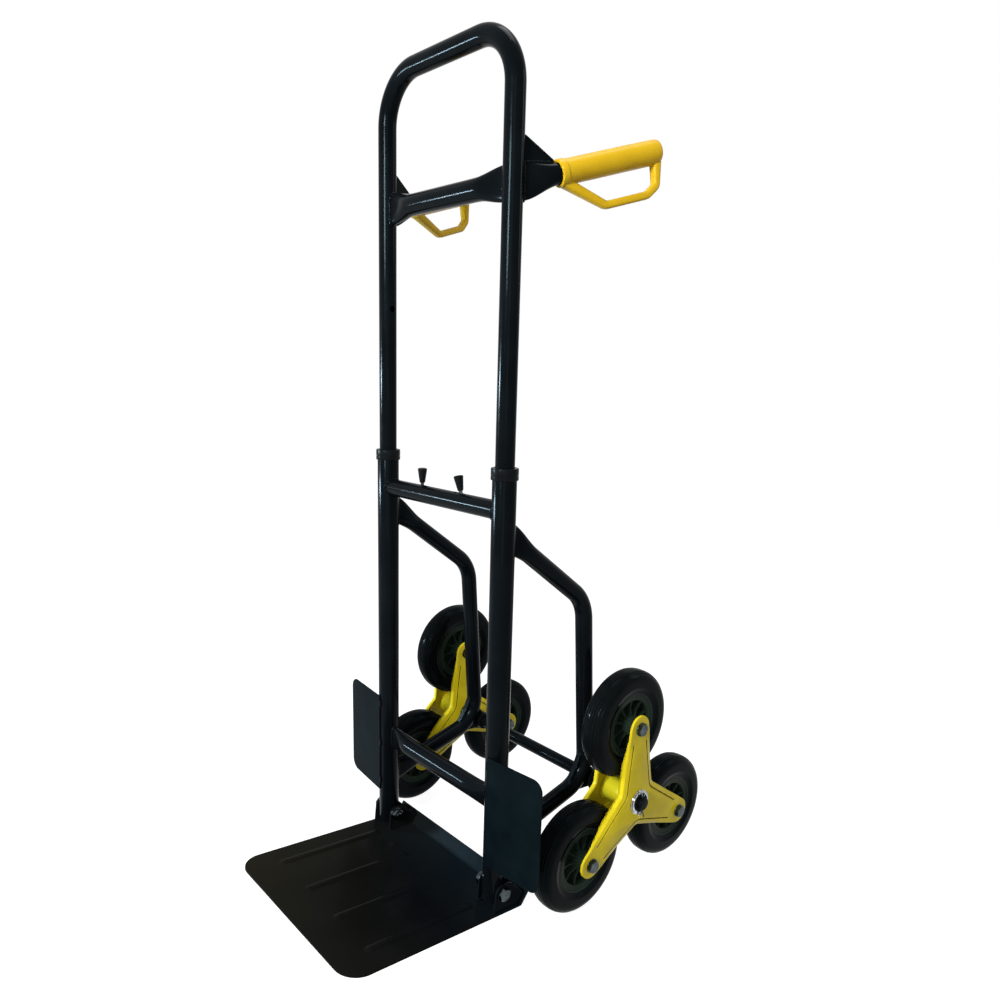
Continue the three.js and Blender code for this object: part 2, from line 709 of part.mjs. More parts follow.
// A moulded rim: a ring, a long hub, a web between them and fins on both sides of the web
function rim() {
  const ringOuter = tyreBoreRadius - gap;
  const ringInner = ringOuter - rimRingThickness;
  const hubEnd = wheelMiddle - clusterInnerFace - starThickness - rimEndClearance;
  const bore = wheelBoltDiameter / 2 + runningClearance;
  const finStart = rimHubDiameter / 2 - rimWebThickness / 2;
  const finEnd = ringInner + rimRingThickness / 2;
  const ring = turnedX([
    [-rimWidth / 2, ringOuter], [rimWidth / 2, ringOuter],
    [rimWidth / 2, ringInner], [-rimWidth / 2, ringInner],
  ], wheelSides);
  const centre = turnedX([
    [-rimWebThickness / 2, finEnd], [rimWebThickness / 2, finEnd],
    [rimWebThickness / 2, rimHubDiameter / 2], [hubEnd, rimHubDiameter / 2],
    [hubEnd, bore], [-hubEnd, bore],
    [-hubEnd, rimHubDiameter / 2], [-rimWebThickness / 2, rimHubDiameter / 2],
  ], hubSides);
  const fin = new THREE.BoxGeometry(finWidth, finThickness, finEnd - finStart)
    .translate(0, 0, (finStart + finEnd) / 2);
  const fins = Array.from({ length: finCount }, (_, index) => (
    fin.clone().rotateX((2 * Math.PI * index) / finCount)));
  return join(ring, centre, ...fins).translate(wheelMiddle, 0, 0);
}

// The part that slides: one bent tube, its brace and the two side handles
function addHandle() {
  const corners = [
    point(-halfSpacing, 0, handleLegBottom), point(-halfSpacing, 0, handleTop),
    point(halfSpacing, 0, handleTop), point(halfSpacing, 0, handleLegBottom),
  ];
  const route = bentRoute(corners, [handleBendRadius, handleBendRadius]);
  const tube = sweep(route, acrossY, roundSection(handleDiameter), handleWall);
  const hole = barX(lockHoleDiameter, halfSpacing - handleDiameter, halfSpacing, boltSides);
  const heights = [upperTubeHeight, upperTubeHeight + handleTravel];
  const holes = names.flatMap((name) => heights.map((height) => (
    hole.clone().rotateZ(name === "right" ? 0 : Math.PI).translate(0, 0, height))));
  addMesh(frame, "handle_loop", cut(tube, ...holes), blackPaint);
  const brace = pressedCrossTube(braceDiameter, braceEndTall, braceWall, braceHeight, handleDiameter);
  addMesh(frame, "handle_brace", brace, blackPaint);
  for (const name of names) addSideHandle(name);
}

// Built along its own Y axis, which starts on the handle leg's axis
function addSideHandle(name) {
  const group = new THREE.Group();
  group.position.set(signs[name] * halfSpacing, 0, sideHandleHeight);
  group.rotation.set(sideHandleRise, 0, -signs[name] * sideHandleSplay, "ZXY");
  frame.add(group);
  group.updateMatrix();
  const toOwnAxes = group.matrix.clone().setPosition(0, 0, 0).invert();
  const leg = barZ(handleDiameter + 2 * gap, -2 * gussetHeight, 2 * gussetHeight, fineSides)
    .applyMatrix4(toOwnAxes);

  const route = [0, ...pressStations(handleRadius), armEnd].map((along) => point(0, along, 0));
  const section = pressedSection(armDiameter, armEndTall, handleRadius, false);
  const arm = sweep(route, acrossX, section, armWall);
  addMesh(group, `handle_arm_${name}`, cut(arm, leg), blackPaint);

  const nearTop = armEndTall / 2 + gap;
  const topStart = gussetHeight * Math.sin(sideHandleRise);
  const gusset = sheetX(new THREE.Shape([
    new THREE.Vector2(handleRadius / 2, 0),
    new THREE.Vector2(gussetReach, 0),
    new THREE.Vector2(gussetReach, gussetTipHeight),
    new THREE.Vector2(topStart + handleRadius, gussetHeight - handleRadius / 2),
    new THREE.Vector2(topStart, gussetHeight - handleRadius / 2),
    new THREE.Vector2(handleRadius / 2, nearTop),
  ]), -gussetThickness / 2, gussetThickness / 2);
  const around = sweep(route, acrossX, (fromStart, fromEnd) => {
    const { flat, tall, power } = section(fromStart, fromEnd);
    return { flat: flat + gussetThickness, tall: tall + gap, power };
  });
  addMesh(group, `gusset_${name}`, cut(gusset, around, leg), blackPaint);
  addMesh(group, `grip_${name}`, grip(), yellowPlastic);
}

// A moulded sleeve, closed at its far end, with a finger guard below it
function grip() {
  const radius = gripDiameter / 2;
  const bore = armDiameter / 2 + gap;
  const sleeve = turned([
    [gripNear, gripRimDiameter / 2],
    [gripNear + gripRimLength, gripRimDiameter / 2],
    [gripNear + gripRimLength, radius],
    [gripFar - gripRounding, radius],
    [gripFar, radius - gripRounding],
    [gripFar, 0],
    [armEnd + gap, 0],
    [armEnd + gap, bore],
    [gripNear, bore],
  ], fineSides);
  const guardStart = radius - guardTall / 2; // inside the sleeve's wall
  const route = bentRoute([
    point(0, guardNear, -guardStart),
    point(0, guardNearCorner, -guardDrop),
    point(0, guardFarCorner, -guardDrop),
    point(0, guardLiftCorner, -guardLiftDrop),
    point(0, guardFar, -guardStart),
  ], [guardCornerRadius, guardCornerRadius, guardCornerRadius]);
  const section = () => ({ flat: guardWide / 2, tall: guardTall / 2, power: 2 / 3 });
  const bar = sweep(route, acrossX, section, 0, hubSides);
  const guard = cut(bar, barY(armDiameter, 0, gripFar - gripRounding));
  return join(sleeve, guard);
}

// Each latch: a rod inside the upper cross tube, pulled inwards by a lever on top
function addLatches() {
  for (const name of names) {
    const group = new THREE.Group();
    group.position.z = upperTubeHeight;
    frame.add(group);
    const side = signs[name];
    const rodEnd = halfSpacing - handleRadius - gap;
    const studLength = upperTubeDiameter / 2 + latchStudBare;
    const knobTop = studLength + latchKnobLength;
    const place = (geometry) => geometry.rotateY(-side * latchLeverLeans[name])
      .translate(side * (latchLeverOffset + studShift(name)), 0, 0);
    const rodEnds = [side * latchRodInnerEnd, side * rodEnd].sort((a, b) => a - b);
    const rod = join(
      barX(latchRodDiameter, rodEnds[0], rodEnds[1], boltSides),
      place(barZ(latchStudDiameter, 0, studLength + latchKnobSocket - gap, boltSides)),
    );
    addMesh(group, `latch_pin_${name}`, rod, zincSteel);
    const knob = turnedZ([
      [studLength, latchKnobFootDiameter / 2],
      [knobTop - latchKnobCrown, latchKnobTopDiameter / 2],
      [knobTop, latchKnobTopDiameter / 2 - latchKnobCrown],
      [knobTop, 0],
      [studLength + latchKnobSocket, 0],
      [studLength + latchKnobSocket, latchStudDiameter / 2 + gap],
      [studLength, latchStudDiameter / 2 + gap],
    ], boltSides);
    addMesh(group, `latch_knob_${name}`, place(knob), blackPlastic);
  }
  const bushRadius = upperTubeDiameter / 2 - upperTubeWall - gap;
  const bushBore = latchRodDiameter / 2 + runningClearance;
  const bush = turnedX([
    [latchBushOffset, bushRadius], [latchBushOffset + latchBushThickness, bushRadius],
    [latchBushOffset + latchBushThickness, bushBore], [latchBushOffset, bushBore],
  ], tubeSides).translate(0, 0, upperTubeHeight);
  addPair(onFrame, "latch_bush", bush, blackPlastic);
}

// The toe plate lies flat on the floor, so it is built in the truck's own axes
function addToePlate() {
  const sheet = new THREE.ExtrudeGeometry(roundedOutline([
    [-toeHalfWidth, toeRear], [-toeHalfWidth, -toeFront, toeCornerRadius],
    [toeHalfWidth, -toeFront, toeCornerRadius], [toeHalfWidth, toeRear],
  ]), { depth: toeThickness, bevelEnabled: false });
  const back = { y: Math.sin(toeFlangeTilt), z: Math.cos(toeFlangeTilt) };
  const flangeTop = { y: toeRear + toeFlangeLength * back.y, z: toeFlangeLength * back.z };
  const flange = sheetX(new THREE.Shape([
    new THREE.Vector2(toeRear, 0),
    new THREE.Vector2(flangeTop.y, flangeTop.z),
    new THREE.Vector2(flangeTop.y - toeThickness * back.z, flangeTop.z + toeThickness * back.y),
    new THREE.Vector2(toeRear - toeThickness * back.z, toeThickness * back.y),
  ]), -toeHalfWidth, toeHalfWidth);
  // A flat eye round the hinge bolt, standing on the plate and against the flange
  const eye = (front, radius, from, to) => {
    const hole = barX(pivotBoltDiameter + 2 * gap, from - overrun, to + overrun, boltSides)
      .translate(0, 0, pivotHeight);
    const plate = sheetX(roundedOutline([
      [-front, toeThickness / 2],
      [toeRear, toeThickness / 2],
      [toeRear + (flangeTop.y - toeRear) * toeEyeBackShare, flangeTop.z * toeEyeBackShare],
      [radius, pivotHeight + radius, radius],
      [-radius, pivotHeight + radius, radius],
    ]), from, to);
    return cut(plate, hole);
  };
  const ear = eye(toeEarFront, toeEarRadius, toeEarOffset - toeEarThickness, toeEarOffset);
  const lug = eye(toeLugFront, toeLugRadius, toeLugOffset - toeLugThickness, toeLugOffset);
  const ribs = toeRibShares.map((share) => toeRib().translate(share * toeHalfWidth, 0, 0));
  const plate = join(sheet, flange, ear, mirrored(ear), lug, mirrored(lug), ...ribs);
  addMesh(truck, "toe_plate", plate, blackPaint);
}

// A rib pressed up out of the plate, with round ends and sloping sides
function toeRib() {
  const half = toeRibWidth / 2 - toeRibSlope;
  const front = -toeRibFront + toeRibSlope;
  const rear = -toeRibRear - toeRibSlope;
  const outline = roundedOutline([
    [-half, front, half], [half, front, half], [half, rear, half], [-half, rear, half],
  ].map(([x, y, radius]) => [x, y, radius - gap]));
  return new THREE.ExtrudeGeometry(outline, {
    depth: gap,
    bevelEnabled: true,
    bevelThickness: toeRibHeight,
    bevelSize: toeRibSlope,
    bevelSegments: 1,
  }).translate(0, 0, toeThickness - gap);
}

// The toe plate's hinge: on each side a bolt through the ear, a spacer, the upright and the lug
function addHinge() {
  const nutEnd = toeLugOffset - toeLugThickness - gap;
  const headStart = toeEarOffset + gap;
  const bolt = join(
    barX(pivotBoltDiameter, nutEnd - pivotNutHeight, headStart + pivotBoltHeadHeight, boltSides),
    hexX(pivotBoltAcrossFlats, headStart, headStart + pivotBoltHeadHeight),
  );
  const nut = cut(
    hexX(pivotBoltAcrossFlats, nutEnd - pivotNutHeight, nutEnd),
    barX(pivotBoltDiameter + 2 * gap, nutEnd - pivotNutHeight - overrun, nutEnd + overrun, boltSides),
  );
  const bore = pivotBoltDiameter / 2 + gap;
  const spacerStart = halfSpacing + uprightRadius + gap;
  const spacerEnd = toeEarOffset - toeEarThickness - gap;
  const spacer = turnedX([
    [spacerStart, pivotSpacerDiameter / 2], [spacerEnd, pivotSpacerDiameter / 2],
    [spacerEnd, bore], [spacerStart, bore],
  ], boltSides);
  addPair(onFrame, "toe_pivot_bolt", bolt, zincSteel);
  addPair(onFrame, "toe_pivot_nut", nut, zincSteel);
  addPair(onFrame, "toe_pivot_spacer", spacer, blackPaint);
}

addUprights();
addCollars();
addUpperTube();
addLowerTube();
addRearTubes();
addWings();
addAxle();
addClusters();
addHandle();
addLatches();
addToePlate();
addHinge();

export default truck;
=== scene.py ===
import math
import random

import bmesh
import bpy
from mathutils import Matrix, Vector, noise


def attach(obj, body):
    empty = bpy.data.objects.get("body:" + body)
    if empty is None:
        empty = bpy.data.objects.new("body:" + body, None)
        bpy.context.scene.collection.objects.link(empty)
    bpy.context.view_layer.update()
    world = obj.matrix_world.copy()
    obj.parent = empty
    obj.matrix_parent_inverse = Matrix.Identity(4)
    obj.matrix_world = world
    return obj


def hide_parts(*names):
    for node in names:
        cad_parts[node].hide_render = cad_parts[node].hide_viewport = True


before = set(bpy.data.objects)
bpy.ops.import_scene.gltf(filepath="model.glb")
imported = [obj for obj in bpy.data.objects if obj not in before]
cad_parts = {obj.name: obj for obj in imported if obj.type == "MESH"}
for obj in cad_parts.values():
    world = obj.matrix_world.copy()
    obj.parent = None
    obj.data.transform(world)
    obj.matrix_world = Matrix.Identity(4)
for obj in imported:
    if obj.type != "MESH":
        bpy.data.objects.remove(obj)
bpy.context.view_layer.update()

# Sizes are in millimetres, as in the part's own source. Each place turns them into metres.
MM = 0.001
LEAN = math.radians(5.5)  # of the frame, backwards
PIVOT_UP = 29.5  # the toe plate's hinge axis above the floor, where the frame's heights start
HALF = 131  # from the middle plane to each upright's axis
UPRIGHT = 16  # the radius of each of these tubes
HANDLE = 12.7
UPPER = 12.7
REAR = 12.7
WALL = 1.5
SINK = 0.4  # how far a tube's end goes into the tube that it meets
UPRIGHT_LOW = -15
UPRIGHT_TOP = 592
HANDLE_TOP = 1104
HANDLE_LOW = 450
HANDLE_BEND = 65
HANDLE_TRAVEL = 259
BRACE_UP = 933
UPPER_UP = 539
LOWER_UP = 133
PRESSED = 4.5  # half the thickness of a tube's end that is pressed tall and thin
PRESSED_POWER = 2 / 3  # how square that end's section is; 1 is an ellipse
AXLE = (195, 104)  # back and up
AXLE_END = 237.5
ARM = 115.6  # from the axle to each wheel bolt
TYRE = 80  # radius
INNER_FACE = 165.3  # the inner star's face and the outer star's, from the middle plane
OUTER_FACE = 226.2
MIDDLE = (INNER_FACE + OUTER_FACE) / 2
FOLD_DEPTH = 8.2  # of the stars' folded edges
GROOVE = 0.125  # how deep the line beside a fold is, as a share of the fold's depth
ACROSS_FLATS = 17  # of each bolt head and nut
TOE_HALF = 155
TOE_FRONT = 250
TOE_BEND = 34.64  # where the plate's top face and the flange's front face meet
TOE_THICK = 2.5
TOE_TILT = math.radians(33)

ARMS = [math.radians(a) for a in (90, 210, 330)]
AXLE_UP = PIVOT_UP + AXLE[0] * math.sin(LEAN) + AXLE[1] * math.cos(LEAN)
CLUSTER_TURN = math.pi + math.asin((AXLE_UP - TYRE) / ARM) - ARMS[1] - LEAN  # the front wheel is on the floor

TRUCK = Matrix.Scale(MM, 4)
FRAME = TRUCK @ Matrix.Translation((0, 0, PIVOT_UP)) @ Matrix.Rotation(LEAN, 4, "X")
AXLE_PLACE = FRAME @ Matrix.Translation((0, *AXLE))
CLUSTER = AXLE_PLACE @ Matrix.Rotation(CLUSTER_TURN, 4, "X")
SIDES = {"left": -1, "right": 1}
X, Y, Z = Vector((1, 0, 0)), Vector((0, 1, 0)), Vector((0, 0, 1))


def at_arm(arm):
    return CLUSTER @ Matrix.Translation((0, ARM * math.cos(arm), ARM * math.sin(arm)))


# ---- Materials ----

def node(tree, kind, inputs=(), **settings):
    made = tree.nodes.new(kind)
    for key, value in settings.items():
        setattr(made, key, value)
    for key, value in dict(inputs).items():
        if isinstance(value, bpy.types.NodeSocket):
            tree.links.new(value, made.inputs[key])
        else:
            made.inputs[key].default_value = value
    return made


def rgba(colour):
    return (*colour, 1)


def noise_of(tree, place, scale, detail=4, rough=0.55):
    made = node(tree, "ShaderNodeTexNoise", {
        "Vector": place, "Scale": scale, "Detail": detail, "Roughness": rough})
    return made.outputs["Fac"]


def spread(tree, value, low, high, to_low, to_high):
    made = node(tree, "ShaderNodeMapRange", {
        "Value": value, "From Min": low, "From Max": high, "To Min": to_low, "To Max": to_high})
    return made.outputs["Result"]


def blend_colours(tree, share, first, second):
    made = node(tree, "ShaderNodeMix", data_type="RGBA")
    for key, value in ((0, share), (6, first), (7, second)):
        if isinstance(value, bpy.types.NodeSocket):
            tree.links.new(value, made.inputs[key])
        else:
            made.inputs[key].default_value = value if key == 0 else rgba(value)
    return made.outputs[2]


def surface(name, colours, rough, blotch, grain, speck=None, fixed=(), extra=None):
    """A finish: blotchy colour and roughness, a fine grain in the bump, and specks of wear or dust.

    blotch is the blotches' noise scale, grain is (scale, depth in mm), and speck is (scale, amount, colour,
    roughness).
    """
    made = bpy.data.materials.new(name)
    made.use_nodes = True
    tree = made.node_tree
    shader = tree.nodes["Principled BSDF"]
    place = node(tree, "ShaderNodeTexCoord").outputs["Object"]
    clouds = noise_of(tree, place, blotch)
    colour = blend_colours(tree, spread(tree, clouds, 0.35, 0.65, 0, 1), *colours)
    roughness = spread(tree, noise_of(tree, place, blotch * 2.7, 6), 0.3, 0.7, *rough)
    if speck:
        scale, amount, speck_colour, speck_rough = speck
        spots = noise_of(tree, place, scale, 8, 0.7)
        share = spread(tree, spots, 0.74 - amount, 0.8 - amount, 0, 1)
        colour = blend_colours(tree, share, colour, speck_colour)
        roughness = node(tree, "ShaderNodeMix", {0: share, 2: roughness, 3: speck_rough}).outputs[0]
    if extra:
        colour, roughness = extra(tree, place, colour, roughness)
    grain_scale, grain_depth = grain
    height = noise_of(tree, place, grain_scale, 3)
    bump = node(tree, "ShaderNodeBump", {"Height": height, "Strength": 1, "Distance": grain_depth * MM})
    tree.links.new(colour, shader.inputs["Base Color"])
    tree.links.new(roughness, shader.inputs["Roughness"])
    tree.links.new(bump.outputs["Normal"], shader.inputs["Normal"])
    for key, value in dict(fixed).items():
        shader.inputs[key].default_value = value
    return made


def painted_plate_reflections(tree, place, colour, roughness):
    """A painted bluish reflection along the toe plate's rear, and a painted warm reflection, stronger towards
    its front and left.
    """
    split = node(tree, "ShaderNodeSeparateXYZ", {"Vector": place})
    ahead = spread(tree, split.outputs["Y"], -0.05, -0.26, 0, 1)
    aside = spread(tree, split.outputs["X"], 0.06, -0.17, 0, 1)
    both = node(tree, "ShaderNodeMath", {0: ahead, 1: aside}, operation="ADD").outputs[0]
    patchy = spread(tree, noise_of(tree, place, 7, 2), 0.3, 0.7, 0.75, 1)
    clouds = node(tree, "ShaderNodeMath", {0: patchy, 1: both}, operation="MULTIPLY").outputs[0]
    share = spread(tree, clouds, 0.15, 1.5, 0, 1)
    rear = spread(tree, split.outputs["Y"], -0.07, 0.03, 0, 1)
    # Painted bluish reflection near the flange, towards the plate's rear
    colour = blend_colours(tree, rear, colour, (0.0036, 0.0062, 0.0085))
    # Painted warm reflection, stronger towards the plate's front and left
    return blend_colours(tree, share, colour, (0.0085, 0.0076, 0.0046)), roughness


def trodden(tree, place, colour, roughness):
    """Grey dust on a tyre."""
    dust = spread(tree, noise_of(tree, place, 34, 7, 0.65), 0.56, 0.78, 0, 0.10)
    duller = node(tree, "ShaderNodeMath", {0: roughness, 1: dust}, operation="ADD").outputs[0]
    return blend_colours(tree, dust, colour, (0.012, 0.012, 0.0115)), duller


GLOSS = {"Specular Tint": (0.62, 0.88, 1, 1), "IOR": 1.105}
SATIN = {"Specular Tint": (0.5, 0.85, 1, 1), "IOR": 1.05}
COOL_TINT = (0.78, 0.92, 1, 1)
METAL = {"Metallic": 1}
GREY_SPECK = (0.012, 0.014, 0.016)
# Each finish: two colours, roughness range, blotch, grain, speck, fixed inputs, and an extra layer
FINISHES = {
    "black_paint": ([(0.0015, 0.0021, 0.0027), (0.0028, 0.0037, 0.0046)], (0.09, 0.19), 14, (200, 0.003),
                    (420, 0.0, GREY_SPECK, 0.45), GLOSS),
    # The toe plate's paint, with painted reflections on it
    "plate_paint": ([(0.0014, 0.0019, 0.0024), (0.0026, 0.0033, 0.0040)], (0.14, 0.26), 10, (240, 0.014),
                    (300, 0.0, (0.014, 0.014, 0.013), 0.5), SATIN, painted_plate_reflections),
    "wing_paint": ([(0.0016, 0.0035, 0.0046), (0.0030, 0.0058, 0.0070)], (0.14, 0.26), 18, (240, 0.012),
                   (420, 0.0, GREY_SPECK, 0.45), SATIN),
    "yellow_paint": ([(0.49, 0.385, 0.008), (0.60, 0.475, 0.012)], (0.12, 0.24), 22, (300, 0.012),
                     (150, 0.035, (0.30, 0.22, 0.02), 0.5), {"IOR": 1.17}),
    "hub_paint": ([(0.52, 0.47, 0.012), (0.57, 0.52, 0.018)], (0.12, 0.24), 16, (300, 0.012),
                  (260, 0.01, (0.32, 0.27, 0.02), 0.5), {"IOR": 1.42}),
    # A darkened yellow: painted shade for the groove beside each star's fold.
    "crease_shade": ([(0.07, 0.052, 0.008), (0.15, 0.118, 0.014)], (0.5, 0.7), 90, (500, 0.02), None, {"IOR": 1.1}),
    "yellow_plastic": ([(0.52, 0.315, 0.006), (0.58, 0.36, 0.009)], (0.24, 0.4), 22, (900, 0.015),
                       (500, 0.0, (0.45, 0.28, 0.015), 0.5), {"IOR": 1.2}),
    "black_plastic": ([(0.0024, 0.0028, 0.0032), (0.004, 0.0045, 0.005)], (0.2, 0.36), 40, (900, 0.02), None,
                      {"Specular Tint": COOL_TINT, "IOR": 1.13}),
    "rim_plastic": ([(0.0078, 0.0145, 0.0098), (0.013, 0.0225, 0.0155)], (0.26, 0.44), 30, (700, 0.02),
                    (380, 0.01, (0.02, 0.026, 0.022), 0.6),
                    {"Specular Tint": (0.8, 1, 0.85, 1), "IOR": 1.12}),
    "tyre_rubber": ([(0.0020, 0.0027, 0.0028), (0.0034, 0.0043, 0.0044)], (0.10, 0.18), 26, (500, 0.006),
                    None, {"Specular Tint": (0.55, 0.85, 1, 1), "IOR": 1.095}, trodden),
    "zinc": ([(0.028, 0.038, 0.042), (0.07, 0.086, 0.09)], (0.10, 0.24), 120, (900, 0.01),
             (700, 0.02, (0.06, 0.06, 0.055), 0.5), METAL),
    "chrome": ([(0.24, 0.26, 0.28), (0.50, 0.52, 0.54)], (0.08, 0.2), 110, (700, 0.006),
               (600, 0.0, (0.25, 0.25, 0.25), 0.4), METAL),
    "black_steel": ([(0.0022, 0.0026, 0.0031), (0.0042, 0.0048, 0.0054)], (0.1, 0.22), 60, (500, 0.006), None,
                    {"Specular Tint": COOL_TINT, "IOR": 1.07}),
}
LOOKS = {name: surface(name, *finish) for name, finish in FINISHES.items()}


# ---- Shapes: each is (points, faces), a closed body ----

def loft(rings, looped=False):
    """Rings of points joined in order, with closed ends or as a loop."""
    size, count = len(rings[0]), len(rings)
    faces = []
    for index in range(count if looped else count - 1):
        here, there = index * size, ((index + 1) % count) * size
        for corner in range(size):
            following = (corner + 1) % size
            faces.append((here + corner, here + following, there + following, there + corner))
    if not looped:
        faces.append(tuple(reversed(range(size))))
        faces.append(tuple(range((count - 1) * size, count * size)))
    return [point for ring in rings for point in ring], faces


def together(*shapes):
    points, faces = [], []
    for some_points, some_faces in shapes:
        faces += [tuple(index + len(points) for index in face) for face in some_faces]
        points += list(some_points)
    return points, faces


def moved(shape, matrix):
    return [matrix @ Vector(point) for point in shape[0]], shape[1]


def turned(profile, axis="X", sides=56):
    """A closed profile of (along, radius) turned about an axis."""
    rings = []
    for along, radius in profile:
        ring = []
        for step in range(sides):
            angle = math.tau * step / sides
            u, v = radius * math.cos(angle), radius * math.sin(angle)
            ring.append({"X": (along, u, v), "Y": (v, along, u), "Z": (u, v, along)}[axis])
        rings.append(ring)
    return loft(rings, looped=True)


def filleted(corners, steps=6):
    """A closed outline through (x, y) corners, or (x, y, radius) where a corner is round."""
    points = []
    for index, corner in enumerate(corners):
        here = Vector(corner[:2])
        if len(corner) < 3 or not corner[2]:
            points.append(tuple(here))
            continue
        before = (Vector(corners[index - 1][:2]) - here).normalized()
        after = (Vector(corners[(index + 1) % len(corners)][:2]) - here).normalized()
        half = before.angle(after) / 2
        centre = here + (before + after).normalized() * (corner[2] / math.sin(half))
        run = corner[2] / math.tan(half)
        start, end = here + before * run - centre, here + after * run - centre
        first = math.atan2(start.y, start.x)
        turn = (math.atan2(end.y, end.x) - first + math.pi) % math.tau - math.pi
        for step in range(steps + 1):
            angle = first + turn * step / steps
            points.append((centre.x + corner[2] * math.cos(angle), centre.y + corner[2] * math.sin(angle)))
    return points


def slab(outline, low, high):
    """An outline in Y and Z with its thickness along X."""
    return loft([[(along, y, z) for y, z in outline] for along in (low, high)])


def bend_route(corners, radii=(), steps=1, extra=()):
    """Stations along straight runs joined by round bends, with extra ones near both ends."""
    corners = [Vector(corner) for corner in corners]
    points = []
    for index, radius in enumerate(radii, 1):
        corner = corners[index]
        back = (corners[index - 1] - corner).normalized()
        ahead = (corners[index + 1] - corner).normalized()
        half = back.angle(ahead) / 2
        centre = corner + (back + ahead).normalized() * (radius / math.sin(half))
        start = corner + back * (radius / math.tan(half)) - centre
        axis = ahead.cross(back).normalized()
        for step in range(steps + 1):
            turn = Matrix.Rotation((math.pi - 2 * half) * step / steps, 3, axis)
            points.append(turn @ start + centre)
    forward = (corners[1] - corners[0]).normalized()
    backward = (corners[-2] - corners[-1]).normalized()
    near = [corners[0] + forward * distance for distance in extra]
    far = [corners[-1] + backward * distance for distance in reversed(extra)]
    return [corners[0], *near, *points, *far, corners[-1]]


def blunt(value, power):
    return math.copysign(abs(value) ** power, value)


def smooth(share):
    share = min(max(share, 0), 1)
    return share * share * (3 - 2 * share)


def round_section(radius):
    return lambda start, end: (radius, radius, 1)


def pressed_end(tall):
    return PRESSED, tall, PRESSED_POWER


def pressed_section(radius, tall, hidden, both=True, length=46):
    """Half sizes of a round tube whose ends are pressed tall and thin, and are hidden in posts."""
    def section(start, end):
        eased = smooth((min(start, end) - hidden if both else start - hidden) / length)
        return tuple(pressed + (full - pressed) * eased
                     for pressed, full in zip(pressed_end(tall), (radius, radius, 1)))
    return section


def out_of_post(point, along, post):
    """The point moved along a direction until it is on the post's surface, if it is inside."""
    if not post:
        return point
    x, radius = post
    px, py = point.x - x, point.y
    inside = px * px + py * py - radius * radius
    if inside >= 0:
        return point
    square = along.x ** 2 + along.y ** 2
    mixed = px * along.x + py * along.y
    return point + along * ((math.sqrt(mixed * mixed - square * inside) - mixed) / square)


def ring_round(centre, across, tall_axis, sizes, sides):
    """A ring from half sizes along two axes; below a power of 1 it is squarer than an ellipse."""
    flat, tall, power = sizes
    ring = []
    for step in range(sides):
        angle = math.tau * step / sides
        ring.append(centre + across * (blunt(math.cos(angle), power) * flat)
                    + tall_axis * (blunt(math.sin(angle), power) * tall))
    return ring


def sweep(route, across, section, wall=0, sides=44, posts=(None, None)):
    """A bar, or a tube with a wall, along a route; its ends are shaped to posts (x, radius)."""
    travelled = [0]
    for index in range(1, len(route)):
        travelled.append(travelled[-1] + (route[index] - route[index - 1]).length)
    outer, inner = [], []
    for index, station in enumerate(route):
        ahead = (route[min(index + 1, len(route) - 1)] - station)
        behind = (station - route[max(index - 1, 0)])
        along = (ahead.normalized() + behind.normalized()).normalized()
        first_half = travelled[index] < travelled[-1] / 2
        post, away = (posts[0], along) if first_half else (posts[1], -along)
        flat, tall, power = section(travelled[index], travelled[-1] - travelled[index])
        tall_axis = along.cross(across)
        for rings, shrink in ((outer, 0), (inner, wall)):
            ring = ring_round(station, across, tall_axis, (flat - shrink, tall - shrink, power), sides)
            rings.append([out_of_post(point, away, post) for point in ring])
    return loft(outer + inner[::-1], looped=True) if wall else loft(outer)


def joint_path(origin, along, across, sizes, post):
    """The line on which a tube's skin meets a post."""
    ring = ring_round(Vector(origin), across, along.cross(across), sizes, 72)
    return [out_of_post(point, along, post) for point in ring]


def weld(path, radius, seed, closed=True, toward=None):
    """A run of weld metal: overlapping ripples of uneven size along a path."""
    spacing, pitch, sides = 1.1, 4.3, 10
    draw = random.Random(seed)
    path = [Vector(point) for point in path]
    loop = path + path[:1] if closed else path
    lengths = [(b - a).length for a, b in zip(loop, loop[1:])]
    total = sum(lengths)
    count = max(int(total / spacing), 8)
    ripples = max(round(total / pitch), 1)
    sizes = [draw.uniform(0.86, 1.14) for _ in range(ripples + 1)]
    centre = sum(path, Vector()) / len(path)
    stations = []
    step, passed = 0, 0.0
    for index in range(count if closed else count + 1):
        wanted = total * index / count
        while step < len(lengths) - 1 and passed + lengths[step] < wanted:
            passed += lengths[step]
            step += 1
        share = (wanted - passed) / max(lengths[step], 1e-6)
        stations.append(loop[step].lerp(loop[step + 1], min(share, 1)))
    rings = []
    for index, station in enumerate(stations):
        before = stations[index - 1] if closed or index else station
        last = index == len(stations) - 1 and not closed
        after = station if last else stations[(index + 1) % len(stations)]
        along = (after - before).normalized()
        outward = toward if toward else station - centre
        outward = (outward - along * outward.dot(along)).normalized()
        aside = along.cross(outward)
        phase = index / count * ripples
        ripple = 0.74 + 0.30 * abs(math.cos(math.pi * phase)) ** 0.6
        end = 1 if closed else math.sqrt(max(1 - (2 * index / count - 1) ** 8, 0.04))
        size = radius * ripple * sizes[int(phase) % len(sizes)] * end
        rings.append([station + outward * (size * math.cos(math.tau * side / sides))
                      + aside * (1.15 * size * math.sin(math.tau * side / sides)) for side in range(sides)])
    return loft(rings, looped=closed)


def rod(low, high, radius, sides=32):
    return turned([(low, 0), (low, radius), (high, radius), (high, 0)], sides=sides)


def disc(low, high, radius, edges, bore=0):
    """A washer along X, or a disc, with its outer edges rounded."""
    profile = [(low, radius, edges[0]), (high, radius, edges[1]), (high, bore), (low, bore)]
    return turned(filleted(profile, 3), sides=40)


